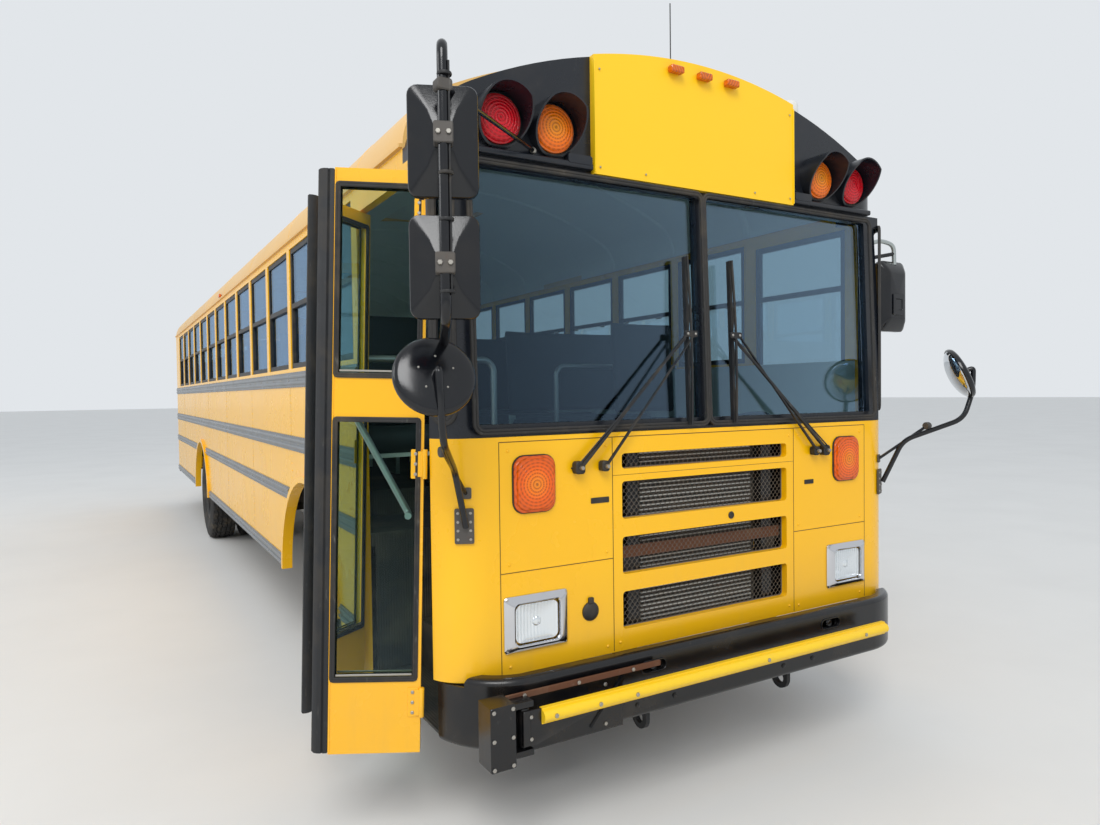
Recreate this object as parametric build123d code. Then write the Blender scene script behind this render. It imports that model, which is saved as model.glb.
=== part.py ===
from build123d import *
import math
import os

# A flat-nosed school bus with its engine in front, seen with its entrance door open.
# Millimetres. +Z is up, the front faces -Y, the driver sits on the +X side and the door is on -X.
# The origin is on the ground, on the centreline, halfway along the bus.
# A station is a distance behind the front panel.

os.makedirs("parts", exist_ok=True)

# Driving dimensions of the body
body_length = 10610
body_half = 1220
wall = 38
skirt_z = 540
belt_z = 1480
sill_z = 1800
window_top_z = 2510
header_z = 2490
wall_top_z = 2546
floor_z = 1020
floor_thick = 60
roof_top_z = 3060
shoulder_radius = 280
crown_radius = 2300
corner_radius = 180
rear_corner_radius = 120
mirror_station = -436
front_reach = 71 - mirror_station
rear_reach = 175
front_y = -(body_length + rear_reach - front_reach) / 2

# Running gear
front_axle_station = 1970
wheelbase = 5280
rear_axle_station = front_axle_station + wheelbase
tyre_radius = 525
tyre_width = 279
rim_radius = 292
front_arch_radius = 620
rear_arch_radius = 590

# Windows
window_pitch = 696
first_pillar_station = 955
window_count = 13
pillar_width = 72
sash_width = 30

# Entrance door
leaf_length = 385
leaf_thick = 34
leaf_bottom_z = 365
leaf_top_z = 2425
hinge_x = 1222
hinge_mid_z = 1400
hinge_gap = 8
door_lean = 1.9
front_hinge_station = 120
leaf_meeting_gap = 12
rear_hinge_station = front_hinge_station + 2 * leaf_length + leaf_meeting_gap
front_leaf_open = 65
rear_leaf_open = 53
nosing_width = 60
door_front_station = front_hinge_station - hinge_gap
door_rear_station = rear_hinge_station + hinge_gap
door_head_z = leaf_top_z + hinge_gap

# Rear emergency door
rear_door_half = 320
rear_door_bottom_z = 1010
rear_door_top_z = 2560

# Section centres of the roof, worked out so that the arcs meet in line
crown_centre_z = roof_top_z - crown_radius
shoulder_x = body_half - shoulder_radius
arc_gap = crown_radius - shoulder_radius
shoulder_z = crown_centre_z + math.sqrt(arc_gap ** 2 - shoulder_x ** 2)


def at(station):
    """Y of a station."""
    return front_y + station


def block(x0, x1, s0, s1, z0, z1):
    """Box between two X values, two stations and two heights."""
    size = Box(abs(x1 - x0), abs(s1 - s0), abs(z1 - z0))
    return Pos((x0 + x1) / 2, at((s0 + s1) / 2), (z0 + z1) / 2) * size


def along_y(sketch, station, length):
    """Sketch in X and Z, extruded rearwards from a station."""
    plane = Plane(origin=(0, at(station), 0), x_dir=(1, 0, 0), z_dir=(0, -1, 0))
    return extrude(plane * sketch, amount=length, dir=(0, 1, 0))


def along_x(sketch, x, length):
    """Sketch in station and Z, extruded towards +X."""
    plane = Plane(origin=(x, front_y, 0), x_dir=(0, 1, 0), z_dir=(1, 0, 0))
    return extrude(plane * sketch, amount=length, dir=(1, 0, 0))


def along_z(sketch, z, height):
    """Sketch in X and station, extruded upwards."""
    return extrude(Plane(origin=(0, front_y, z)) * sketch, amount=height, dir=(0, 0, 1))


def rect(a0, a1, b0, b1):
    """Rectangle in sketch coordinates."""
    return Pos((a0 + a1) / 2, (b0 + b1) / 2) * Rectangle(abs(a1 - a0), abs(b1 - b0))


def mirrored(shape):
    """The same shape on the other side of the centreline."""
    return mirror(shape, about=Plane.YZ)


def both(shape):
    """A shape and its mirror image."""
    return [shape, mirrored(shape)]


def gather(shapes):
    """Separate solids in one node."""
    solids = []
    for shape in shapes:
        solids.extend(shape.solids())
    return Compound(children=solids)


def save(name, shape):
    export_step(shape, f"parts/{name}.step")


def rod(radius, start, end):
    """Round bar between two points given as X, station and Z."""
    a = Vector(start[0], at(start[1]), start[2])
    b = Vector(end[0], at(end[1]), end[2])
    return Plane(origin=a, z_dir=b - a) * Cylinder(
        radius, (b - a).length, align=(Align.CENTER, Align.CENTER, Align.MIN))


def tube(radius, points, bend):
    """Bent tube through points given as X, station and Z."""
    path = FilletPolyline([(x, at(s), z) for x, s, z in points], radius=bend)
    return sweep(Plane(path @ 0, z_dir=path % 0) * Circle(radius), path=path)


def rounded(x0, x1, z0, z1, radius):
    """Rectangle in X and Z with rounded corners."""
    return Pos((x0 + x1) / 2, (z0 + z1) / 2) * RectangleRounded(abs(x1 - x0), abs(z1 - z0), radius)


def body_section(inset, bottom):
    """Cross section of the body with its crowned roof, drawn in X and Z."""
    half = body_half - inset
    shoulder = shoulder_radius - inset
    crown = crown_radius - inset
    join_x = shoulder_x / arc_gap * crown
    join_z = crown_centre_z + (shoulder_z - crown_centre_z) / arc_gap * crown
    mid_angle = (math.atan2(shoulder_z - crown_centre_z, shoulder_x)) / 2
    mid = (shoulder_x + shoulder * math.cos(mid_angle), shoulder_z + shoulder * math.sin(mid_angle))
    outline = [
        Line((-half, bottom), (half, bottom)),
        Line((half, bottom), (half, shoulder_z)),
        ThreePointArc((half, shoulder_z), mid, (join_x, join_z)),
        ThreePointArc((join_x, join_z), (0, crown_centre_z + crown), (-join_x, join_z)),
        ThreePointArc((-join_x, join_z), (-mid[0], mid[1]), (-half, shoulder_z)),
        Line((-half, shoulder_z), (-half, bottom)),
    ]
    return make_face(Curve(children=outline).edges())


def nose_plan(half, front, radius, rear):
    """Plan outline with two rounded front corners, drawn in X and station."""
    corner = front + radius
    outline = [
        RadiusArc((-half, corner), (-half + radius, front), -radius),
        Line((-half + radius, front), (half - radius, front)),
        RadiusArc((half - radius, front), (half, corner), -radius),
        Line((half, corner), (-half, corner)),
    ]
    nose = make_face(Curve(children=outline).edges())
    if rear > corner:
        nose += rect(-half, half, corner, rear)
    return nose


def pillar_stations():
    return [first_pillar_station + window_pitch * number for number in range(window_count + 1)]


def window_openings():
    """Station ranges of the side windows."""
    stations = pillar_stations()
    return [(a + pillar_width / 2, b - pillar_width / 2) for a, b in zip(stations, stations[1:])]


# Side walls: one panel each side with its arches, windows and door cut

rear_wall_station = body_length - rear_corner_radius
driver_window = (262, 900, sill_z - 60, header_z - 16)
roof_start = 300
arch_centre_z = tyre_radius
flare_width = 36
flare_proud = 24


def wall_sketch():
    """Side wall as seen from the side, with wheel arches and windows cut."""
    panel = rect(corner_radius, rear_wall_station, skirt_z, wall_top_z)
    panel -= rect(0, roof_start, header_z, roof_top_z)
    panel -= Pos(front_axle_station, arch_centre_z) * Circle(front_arch_radius)
    panel -= Pos(rear_axle_station, arch_centre_z) * Circle(rear_arch_radius)
    for start, end in window_openings():
        panel -= rect(start, end, sill_z, window_top_z)
    return panel


def side_walls():
    left = wall_sketch() - rect(*driver_window)
    right = wall_sketch()
    right -= rect(0, door_rear_station, 0, door_head_z)
    right += rect(door_rear_station, front_axle_station - front_arch_radius - 60, leaf_bottom_z, skirt_z + 1)
    left_wall = along_x(left, body_half - wall, wall)
    right_wall = along_x(right, -body_half, wall)
    for flare in arch_flares():
        left_wall += flare
        right_wall += mirrored(flare)
    save("side_wall_left", left_wall)
    save("side_wall_right", right_wall)


def arch_flares():
    """Lips that stand out round the top of each wheel arch, on the +X side."""
    flares = []
    for centre, radius in ((front_axle_station, front_arch_radius), (rear_axle_station, rear_arch_radius)):
        lip = Circle(radius + flare_width) - Circle(radius)
        lip = (Pos(centre, arch_centre_z) * lip) & rect(centre - 900, centre + 900, skirt_z, 2000)
        flares.append(along_x(lip, body_half - 1, flare_proud + 1))
    return flares


# Rub rails: ribbed strips along the side, each a channel with two raised ribs

rub_rails_table = [
    # height of the lower edge, depth of the rail
    (sill_z - 112, 88),
    (1310, 88),
    (1000, 76),
    (skirt_z + 4, 76),
]
rail_proud = 14


def rail_section(low, depth):
    """Rail section in X and Z, standing out from the wall."""
    section = rect(body_half, body_half + 6, low, low + depth)
    for share in (0.28, 0.72):
        section += Pos(body_half + 4, low + depth * share) * Ellipse(rail_proud - 4, depth * 0.13)
    return section & rect(body_half, body_half + rail_proud + 1, low, low + depth)


def rail_runs(low, depth, first_station):
    """Station ranges of a rail: whole above the arches, broken at them below."""
    runs = []
    start = first_station
    for centre, radius in ((front_axle_station, front_arch_radius), (rear_axle_station, rear_arch_radius)):
        reach = radius ** 2 - max(0, low - arch_centre_z) ** 2
        if reach <= 0:
            continue
        half = math.sqrt(reach) + flare_width + 26
        if start < centre - half - 60:
            runs.append((start, centre - half))
        start = centre + half
    runs.append((start, rear_wall_station))
    return runs


def rub_rails():
    rails = []
    for low, depth in rub_rails_table:
        for side, first in ((1, corner_radius + 8), (-1, door_rear_station + 12)):
            for start, end in rail_runs(low, depth, first):
                piece = along_y(rail_section(low, depth), start, end - start)
                rails.append(piece if side > 0 else mirrored(piece))
    save("rub_rails", gather(rails))


# Roof: a thin shell between the front cap and the rear cap, with two hatch openings

roof_thick = 45
gutter_proud = 14
hatch_half = 300
hatch_stations = (3100, 7700)


def roof():
    length = rear_wall_station - roof_start
    shell = along_y(body_section(0, wall_top_z) - body_section(roof_thick, wall_top_z - 1), roof_start, length)
    for gutter in both(block(body_half - 2, body_half + gutter_proud, roof_start, rear_wall_station,
                             wall_top_z + 6, wall_top_z + 20)):
        shell += gutter
    for station in hatch_stations:
        shell -= block(-hatch_half, hatch_half, station - hatch_half, station + hatch_half, 2700, 3200)
    save("roof", shell)


# Front panel: the lower face with its rounded corners and four grille slots

front_bottom_z = 620
front_thick = 30
grille_half = 455
slot_corner = 15
grille_slots = [
    # low and high edge
    (1335, 1396),
    (1138, 1286),
    (920, 1068),
    (703, 852),
]


def front_panel():
    plan = nose_plan(body_half, 0, corner_radius, corner_radius)
    plan -= nose_plan(body_half - front_thick, front_thick, corner_radius - front_thick, corner_radius + 1)
    panel = along_z(plan, front_bottom_z, belt_z - front_bottom_z)
    for low, high in grille_slots:
        panel -= along_y(rounded(-grille_half, grille_half, low, high, slot_corner), -5, front_thick + 10)
    save("front_panel", panel - entrance_corner())


def entrance_corner():
    """What the entrance takes out of the rounded corner on the door side."""
    return block(-1300, corner_radius - body_half, door_front_station, 300, 0, door_head_z)


def grille_screens():
    """Screens behind the slots: upright bars crossed by two rails."""
    screens = []
    for low, high in grille_slots:
        x0 = grille_half + 12
        frame = rect(-x0, x0, low - 12, high + 12) - rect(-grille_half, grille_half, low, high)
        frame = along_y(frame, front_thick + 1, 10)
        bars = 18
        for number in range(1, bars):
            x = -grille_half + 2 * grille_half * number / bars
            frame += block(x - 3, x + 3, front_thick + 2, front_thick + 8, low - 2, high + 2)
        screens.append(frame)
    save("grille_screens", gather(screens))


# Windshield frame: the raked part of the nose above the belt, with corner windows

rake = 0.035
glass_station = 25
pane_half = 1065
pane_low_z = 1525
pane_high_z = 2452
post_half = 20
corner_glass_angles = {1: (15, 50), -1: (32, 54)}


def raked_cut(setback):
    """Everything ahead of the raked windshield plane."""
    low = glass_station + setback
    high = low + rake * (header_z - belt_z)
    profile = Polygon((-600, belt_z - 40), (low - rake * 40, belt_z - 40), (high + rake * 40, header_z + 40),
                      (-600, header_z + 40), align=None)
    return along_x(profile, -1400, 2800)


def corner_wedge(side, inset, low, high):
    """Wedge of one rounded corner that its window takes up, with angles from the side of the bus."""
    cx, cs = side * (body_half - corner_radius), corner_radius
    reach = 400
    points = [(cx, cs)]
    first, last = corner_glass_angles[side]
    for angle in (first + inset, last - inset):
        a = math.radians(angle)
        points.append((cx + side * reach * math.cos(a), cs - reach * math.sin(a)))
    return along_z(Polygon(*points, align=None), low, high - low)


def nose_ring(inset, thick, low, high):
    """Ring that follows the nose in plan and ends where the side walls start."""
    outer = nose_plan(body_half - inset, inset, corner_radius - inset, corner_radius)
    inner = nose_plan(body_half - inset - thick, inset, corner_radius - inset, corner_radius + 1)
    outer = along_z(outer, low, high - low) - raked_cut(inset)
    inner = along_z(inner, low - 1, high - low + 2) - raked_cut(inset + thick)
    return outer - inner


def windshield_frame():
    frame = nose_ring(0, 40, belt_z, header_z)
    frame -= block(-pane_half, pane_half, -20, 300, pane_low_z, pane_high_z)
    for side in (-1, 1):
        frame -= corner_wedge(side, 0, pane_low_z + 15, pane_high_z - 12)
    frame += nose_ring(0, 40, belt_z, header_z) & block(-post_half, post_half, -20, 300, belt_z + 5, header_z - 5)
    save("windshield_frame", frame - entrance_corner())


def windshield_panes():
    ring = nose_ring(16, 6, belt_z + 1, header_z - 1)
    gap = 1
    panes = []
    for x0, x1 in ((-pane_half + gap, -post_half - gap), (post_half + gap, pane_half - gap)):
        panes.append(ring & block(x0, x1, -20, 300, pane_low_z + gap, pane_high_z - gap))
    for side in (-1, 1):
        panes.append(ring & corner_wedge(side, 0.6, pane_low_z + 16, pane_high_z - 13))
    return panes


# Front cap: black header over the windshield, with hooded warning lamps

cap_face = glass_station + rake * (header_z - belt_z)
cap_drop = 62
cap_thick = 60
lamp_z = 2622
red_lamp_x = 950
amber_lamp_x = 722
lamp_radius = 89
hood_outer = 104
hood_inner = 97
hood_length = 128
moulding_x = (552, 1085)
moulding_proud = 28
moulding_high = 24
housing_x = (556, 664)
sign_half = 545


def cap_outline(inset, station, length):
    """Front cap with rounded corners in plan and a roof-shaped top, set below the roof by cap_drop."""
    half = body_half - inset
    plan = nose_plan(half, cap_face + inset, corner_radius - inset, roof_start + 1)
    prism = along_z(plan, header_z, roof_top_z - header_z + 10)
    section = Pos(0, -cap_drop) * body_section(inset, header_z) + rect(-half, half, header_z, wall_top_z)
    return prism & along_y(section & rect(-half, half, header_z, roof_top_z), station, length)


def hood(x):
    """Round hood over one warning lamp, cut on the slant from its full length above to nothing below."""
    front, back = cap_face - hood_length, cap_face + 2
    tube_part = along_y(Pos(x, lamp_z) * (Circle(hood_outer) - Circle(hood_inner)), front, hood_length + 2)
    slant = Polygon((front - 1, lamp_z + 62), (front - 1, lamp_z - 150), (back + 1, lamp_z - 150),
                    (back - 10, lamp_z - hood_outer), align=None)
    return tube_part - along_x(slant, x - 150, 300)


def cap_trim():
    """Rounded moulding along the lower edge, and a small housing each side of the sign."""
    profile = rect(cap_face - moulding_proud, cap_face + 4, header_z, header_z + moulding_high)
    profile = fillet(profile.vertices().group_by(Axis.X)[0], 8)
    x0, x1 = moulding_x
    trim = along_x(profile, x0, x1 - x0)
    x0, x1 = housing_x
    trim += along_y(rounded(x0, x1, header_z + moulding_high - 8, header_z + moulding_high + 26, 10), cap_face - 30, 32)
    return trim + mirrored(trim)


def front_cap():
    cap = cap_outline(0, 0, roof_start)
    cap -= cap_outline(cap_thick, 0, roof_start + 10)
    for x in (red_lamp_x, amber_lamp_x):
        for side in (-1, 1):
            cap += hood(side * x)
    save("front_cap", cap + cap_trim())


whip = (0, 235, 3345)
whip_radius = 2.5
dome_place = (615, 120)
dome_radius = 40


def roof_fittings():
    """Whip antenna on the middle of the cap, and a small round puck beside the sign."""
    x, station, top = whip
    low = roof_top_z - cap_drop + 0.3
    antenna = rod(whip_radius, (x, station, low), (x, station, top)) + rod(14, (x, station, low), (x, station, low + 26))
    x, station = dome_place
    puck_z = crown_centre_z + math.sqrt(crown_radius ** 2 - x ** 2) - cap_drop - 14
    puck = rod(dome_radius, (x, station, puck_z), (x, station, puck_z + 74))
    puck = fillet(puck.edges().group_by(Axis.Z)[-1], 28)
    save("roof_fittings", gather([antenna, puck - cap_outline(-0.3, 0, roof_start)]))


def sign_panel():
    """Blank panel standing proud of the cap, its top following the crown."""
    arch = body_section(0, 2200) & rect(-sign_half, sign_half, header_z - 12, roof_top_z)
    arch = Pos(0, -cap_drop) * arch + rect(-sign_half, sign_half, header_z - 12, 2600)
    arch = arch & rect(-sign_half, sign_half, header_z - 12, roof_top_z)
    panel = along_y(arch, cap_face - 28, 27)
    save("sign_panel", panel)


# Lamps on the front, each a short stack of discs or a rounded block

turn_x, turn_z, turn_width, turn_height = 850, 1306, 172, 205
head_x, head_z, bezel_width, bezel_height = 848, 800, 266, 205
lens_width, lens_height = 184, 146
marker_x = 152
marker_z = 2945
side_marker_station = 5310


def dome(radius, rise, x, station, z, facing):
    """Shallow lens dome with its flat back at a station, facing forwards (-1) or rearwards (+1)."""
    sphere = (radius ** 2 + rise ** 2) / (2 * rise)
    ball = Pos(x, at(station) - facing * (sphere - rise), z) * Sphere(sphere)
    slab = Pos(x, at(station) + facing * (rise + 2) / 2, z) * Rot(X=90) * Cylinder(radius, rise + 2)
    return ball & slab


def red_lamps():
    lamps = [dome(lamp_radius, 24, side * red_lamp_x, cap_face - 1, lamp_z, -1) for side in (-1, 1)]
    rear = body_length + 1
    for side in (-1, 1):
        lamps.append(dome(lamp_radius, 24, side * red_lamp_x, rear, lamp_z + 20, 1))
        lamps.append(dome(lamp_radius, 20, side * 990, rear, 1500, 1))
        lamps.append(dome(50, 14, side * 780, rear, 1180, 1))
    for side in (-1, 0, 1):
        lamps.append(block(side * marker_x - 32, side * marker_x + 32, rear, rear + 24, 2830, 2862))
    save("red_lamps", gather(lamps))


def amber_lamps():
    lamps = [dome(lamp_radius, 24, side * amber_lamp_x, cap_face - 1, lamp_z, -1) for side in (-1, 1)]
    rear = body_length + 1
    for side in (-1, 1):
        turn = along_y(Pos(side * turn_x, turn_z) * RectangleRounded(turn_width, turn_height, 42), -26, 25)
        lamps.append(turn)
        lamps.append(dome(lamp_radius, 24, side * amber_lamp_x, rear, lamp_z + 20, 1))
        lamps.append(dome(lamp_radius, 20, side * 990, rear, 1270, 1))
        x = side * body_half
        marker = block(x - 20, x + 24, side_marker_station, side_marker_station + 70, 2570, 2602)
        lamps.append(marker - along_y(body_section(-0.5, 2500), side_marker_station - 5, 80))
    for side in (-1, 0, 1):
        x = side * marker_x
        lamps.append(block(x - 34, x + 34, cap_face - 60, cap_face - 29, marker_z - 14, marker_z + 14))
    save("amber_lamps", gather(lamps))


def headlamps():
    bezel = RectangleRounded(bezel_width, bezel_height, 16) - RectangleRounded(lens_width + 4, lens_height + 4, 24)
    lens = RectangleRounded(lens_width, lens_height, 22)
    lamps = []
    for side in (-1, 1):
        place = Pos(side * head_x, head_z)
        lamps.append(along_y(place * bezel, -24, 23) + along_y(place * RectangleRounded(200, 160, 24), -5, 4)
                     + along_y(place * lens, -17, 14))
    save("headlamps", gather(lamps))


# Floor, wheel boxes and entrance steps

seat_floor_half = body_half - wall - 1
front_box_inner_x = 680
front_box_half = 600
rear_box_inner_x = 540
rear_box_half = 560
box_top_z = 1150
box_thick = 12
step_inner_x = 560
step_heights = (floor_z, 812, 604, 396)
step_rear_station = rear_hinge_station - 4
step_front_station = front_hinge_station + 6


def wheel_box(centre, half, inner_x):
    """Sheet box over a wheel, open below."""
    outer = block(inner_x, seat_floor_half, centre - half, centre + half, floor_z - floor_thick, box_top_z)
    hollow = block(inner_x + box_thick, seat_floor_half + 5, centre - half + box_thick, centre + half - box_thick,
                   floor_z - floor_thick - 5, box_top_z - box_thick)
    return outer, hollow


def floor():
    plan = nose_plan(seat_floor_half, front_thick + 25, corner_radius - front_thick, body_length - wall - 2)
    plan = fillet(plan.vertices().group_by(Axis.Y)[-1], 90)
    deck = along_z(plan, floor_z - floor_thick, floor_thick)
    deck -= block(-body_half, -step_inner_x + 12, -10, step_rear_station + 8, floor_z - 200, floor_z + 10)
    deck -= block(-352, 352, 30, 1560, floor_z - 200, floor_z + 10)
    for centre, half, inner_x in ((front_axle_station, front_box_half, front_box_inner_x),
                                  (rear_axle_station, rear_box_half, rear_box_inner_x)):
        outer, hollow = wheel_box(centre, half, inner_x)
        for side_outer, side_hollow in zip(both(outer), both(hollow)):
            deck = deck + side_outer - side_hollow
    save("floor", deck)


def entrance_steps():
    """Folded sheet steps between two side plates, rising inwards from the door."""
    sheet = 10
    tread = (body_half - wall - 20 - step_inner_x) / 3
    length = step_rear_station - step_front_station
    outer_x = -(body_half - wall - 20)
    points = [(outer_x, step_heights[3])]
    for number in range(3):
        inner = outer_x + tread * (number + 1)
        points.append((inner, step_heights[3 - number]))
        points.append((inner, step_heights[2 - number]))
    points[-1] = (points[-1][0], floor_z - 2)
    lower = [(x + sheet * 0.9, z - sheet) for x, z in points[1:-1]]
    profile = points + [(points[-1][0] + sheet * 0.9, floor_z - 2)] + lower[::-1] + [(outer_x, step_heights[3] - sheet)]
    steps = along_y(Polygon(*profile, align=None), step_front_station, length)
    inner_x = points[-1][0] + sheet * 0.9
    side_plate = Polygon((outer_x, step_heights[3] - sheet), (inner_x, step_heights[3] - sheet),
                         (inner_x, floor_z - 2), (outer_x, floor_z - 2), align=None)
    for station in (step_front_station - 8, step_rear_station):
        steps += along_y(side_plate, station, 8)
    save("entrance_steps", steps)


# Rear end: rounded cap and wall in one shell, with the emergency door opening and windows

rear_window = (400, 1010, 1800, 2420)
rear_floor_z = skirt_z


def rear_shell(inset, length):
    section = body_section(inset, rear_floor_z - (inset > 0))
    solid = along_y(section, rear_wall_station, length - inset)
    corners = solid.edges().filter_by(Axis.Z).group_by(Axis.Y)[-1]
    return fillet(corners, rear_corner_radius - inset - 4)


def rear_wall():
    shell = rear_shell(0, rear_corner_radius) - Pos(0, -1, 0) * rear_shell(wall, rear_corner_radius + 1)
    shell -= block(-rear_door_half, rear_door_half, rear_wall_station, body_length + 10,
                   rear_door_bottom_z, rear_door_top_z)
    x0, x1, low, high = rear_window
    for opening in both(block(x0, x1, rear_wall_station, body_length + 10, low, high)):
        shell -= opening
    save("rear_wall", shell)


door_gap = 8
rear_door_thick = 34
rear_hinge_x = -rear_door_half - 4
rear_pane_half = 235
rear_pane_heights = ((1160, 1640), (1800, 2440))


def rear_door_face():
    half = rear_door_half - door_gap
    return rect(-half, half, rear_door_bottom_z + door_gap, rear_door_top_z - door_gap)


def emergency_door():
    face = rear_door_face()
    for low, high in rear_pane_heights:
        face -= rect(-rear_pane_half, rear_pane_half, low, high)
    door = along_y(face, body_length - rear_door_thick, rear_door_thick + 2)
    for z in (1200, 1780, 2380):
        knuckle = Pos(rear_hinge_x, at(body_length + 10), z) * Cylinder(9, 90)
        leaf = block(rear_hinge_x, rear_hinge_x + 60, body_length + 4, body_length + 9, z - 45, z + 45)
        strap = block(rear_hinge_x + 14, rear_hinge_x + 60, body_length, body_length + 6, z - 45, z + 45)
        door += knuckle + leaf + strap
    door += tube(9, [(250, body_length - 2, 1400), (250, body_length + 48, 1400), (250, body_length + 48, 1560),
                     (250, body_length - 2, 1560)], 18)
    save("emergency_door", door)
    glass = [along_y(rect(-rear_pane_half + 1, rear_pane_half - 1, low + 1, high - 1), body_length - 20, 6)
             for low, high in rear_pane_heights]
    save("emergency_door_glass", gather(glass))


# Side windows: split sashes with black frames, glass in each half

sash_split_z = 2170
sash_depth = 26


def sash(start, end, low, high):
    """One window frame with a middle rail, seen from the side."""
    frame = rect(start + 1, end - 1, low + 1, high - 1)
    frame -= rect(start + sash_width, end - sash_width, low + sash_width, sash_split_z - 14)
    frame -= rect(start + sash_width, end - sash_width, sash_split_z + 14, high - sash_width)
    return frame


def all_windows():
    """Station range, low and high edge, and side of every side window."""
    rows = [(start, end, sill_z, window_top_z, side) for start, end in window_openings() for side in (-1, 1)]
    rows.append((*driver_window, 1))
    return rows


def window_frames():
    frames = []
    for start, end, low, high, side in all_windows():
        x = side * (body_half - 20) - sash_depth / 2
        frames.append(along_x(sash(start, end, low, high), x, sash_depth))
    x0, x1, low, high = rear_window
    ring = rect(x0 + 1, x1 - 1, low + 1, high - 1) - rect(x0 + 28, x1 - 28, low + 28, high - 28)
    frames.extend(both(along_y(ring, body_length - 34, 30)))
    save("window_frames", gather(frames))


def side_panes():
    panes = []
    for start, end, low, high, side in all_windows():
        for bottom, top, offset in ((low + sash_width, sash_split_z - 14, -6), (sash_split_z + 14, high - sash_width, 4)):
            x = side * (body_half - 20) + side * offset - 2
            face = rect(start + sash_width + 1, end - sash_width - 1, bottom + 1, top - 1)
            panes.append(along_x(face, x, 5))
    x0, x1, low, high = rear_window
    face = rect(x0 + 29, x1 - 29, low + 29, high - 29)
    panes.extend(both(along_y(face, body_length - 22, 6)))
    return panes


# Entrance door: two leaves on outer posts, built closed and turned to their open rest

pane_heights = ((628, 1545), (1700, 2368))
stile_width = 24
leaf_edge = 12


def leaf_parts():
    """Closed leaf seen from the side, its hinge edge at 0 and its free edge at leaf_length."""
    solid_end = leaf_length - nosing_width
    face = rect(4, solid_end, leaf_bottom_z, leaf_top_z)
    panes = []
    for low, high in pane_heights:
        face -= rect(stile_width, solid_end - leaf_edge, low, high)
        panes.append(rect(stile_width + 1, solid_end - leaf_edge - 1, low + 1, high - 1))
    nosing = rect(solid_end, leaf_length, leaf_bottom_z + 4, leaf_top_z - 4)
    return face, panes, nosing


def door_leaf(name, hinge_station, direction, angle):
    """Frame, glass and rubber nosing of one leaf, opened about its hinge."""
    face, panes, nosing = leaf_parts()
    inner_x = -hinge_x + 6
    frame = extrude_leaf(face, inner_x, leaf_thick)
    for z in (leaf_bottom_z + 180, 1390, leaf_top_z - 150):
        frame += Plane(origin=(-hinge_x, 0, z)) * Cylinder(8, 90)
        frame += Pos(-hinge_x + 3, 12, z) * Box(10, 24, 90)
    glass = Part()
    for pane in panes:
        glass += extrude_leaf(pane, inner_x + 14, 6)
    rubber = extrude_leaf(nosing, inner_x - 2, leaf_thick + 4)
    pieces = {f"{name}_frame": frame, f"{name}_glass": glass, f"{name}_nosing": rubber}
    for node, shape in pieces.items():
        if direction < 0:
            shape = mirror(shape, about=Plane.XZ)
        turned = Rot(Y=door_lean) * Rot(Z=direction * angle) * Pos(hinge_x, 0, -hinge_mid_z) * shape
        save(node, Pos(-hinge_x, at(hinge_station), hinge_mid_z) * turned)


def extrude_leaf(sketch, x, length):
    """Leaf sketch in Y from the hinge and Z, extruded towards +X."""
    plane = Plane(origin=(x, 0, 0), x_dir=(0, 1, 0), z_dir=(1, 0, 0))
    return extrude(plane * sketch, amount=length, dir=(1, 0, 0))


# Bumpers, tow eyes and chassis frame

bumper_half = 1200
bumper_front = -120
bumper_radius = 290
bumper_low_z, bumper_high_z = 400, 648
bumper_sheet = 10
rail_x = 390
rail_half_width = 37
rail_low_z, rail_high_z = 640, 894
tow_eye_radius = 24
tow_eye_z = 352
front_tow_station = -20
rear_tow_station = body_length + 60
tow_plate_thick = 20


bumper_end_station = 178
bumper_roll = 22
bumper_flange = 50
bumper_holes = (-400, 600)


def bumper_section():
    """Pressed section in distance outwards and height: rolled top edge, flat web, lower flange."""
    outer = rect(-bumper_flange, 0, bumper_low_z, bumper_high_z)
    inner = rect(-bumper_flange - 1, -bumper_sheet, bumper_low_z + bumper_sheet, bumper_high_z - bumper_sheet)
    outer = fillet(outer.vertices().group_by(Axis.X)[-1], bumper_roll)
    inner = fillet(inner.vertices().group_by(Axis.X)[-1], bumper_roll - bumper_sheet)
    return outer - inner


def front_bumper():
    corners = [(-bumper_half, at(bumper_end_station), 0), (-bumper_half, at(bumper_front), 0),
               (bumper_half, at(bumper_front), 0), (bumper_half, at(bumper_end_station), 0)]
    path = FilletPolyline(*corners, radius=bumper_radius)
    start = Plane(origin=corners[0], x_dir=(-1, 0, 0), z_dir=(0, 1, 0))
    bumper = sweep(start * bumper_section(), path=path)
    for x in bumper_holes:
        bumper -= along_y(Pos(x, 585) * SlotOverall(120, 44), bumper_front - 5, 40)
    bumper -= block(-1300, 1300, -6, 300, front_bottom_z - 4, 700)
    bumper -= block(-1300, -1000, door_front_station - 6, 300, 300, 700)
    save("front_bumper", bumper)


def rear_bumper():
    depth = rear_reach - 1
    face = nose_plan(bumper_half, 0, 90, depth)
    web = along_z(face - nose_plan(bumper_half - 8, 8, 82, depth + 1), 500, 250)
    web += along_z(face - nose_plan(bumper_half - 60, 60, 30, depth + 1), 742, 8)
    turned = Rot(Z=180) * Pos(0, -front_y, 0) * web
    save("rear_bumper", Pos(0, at(body_length + rear_reach), 0) * turned)


def tow_plate(station, rises):
    """Upright plate with a round eye; each rise is a rectangle of the plate beside the eye."""
    lug = Circle(46)
    for rise in rises:
        lug += rect(*rise)
    lug -= Circle(tow_eye_radius)
    return along_x(Pos(station, tow_eye_z) * lug, rail_x - tow_plate_thick / 2, tow_plate_thick)


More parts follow.
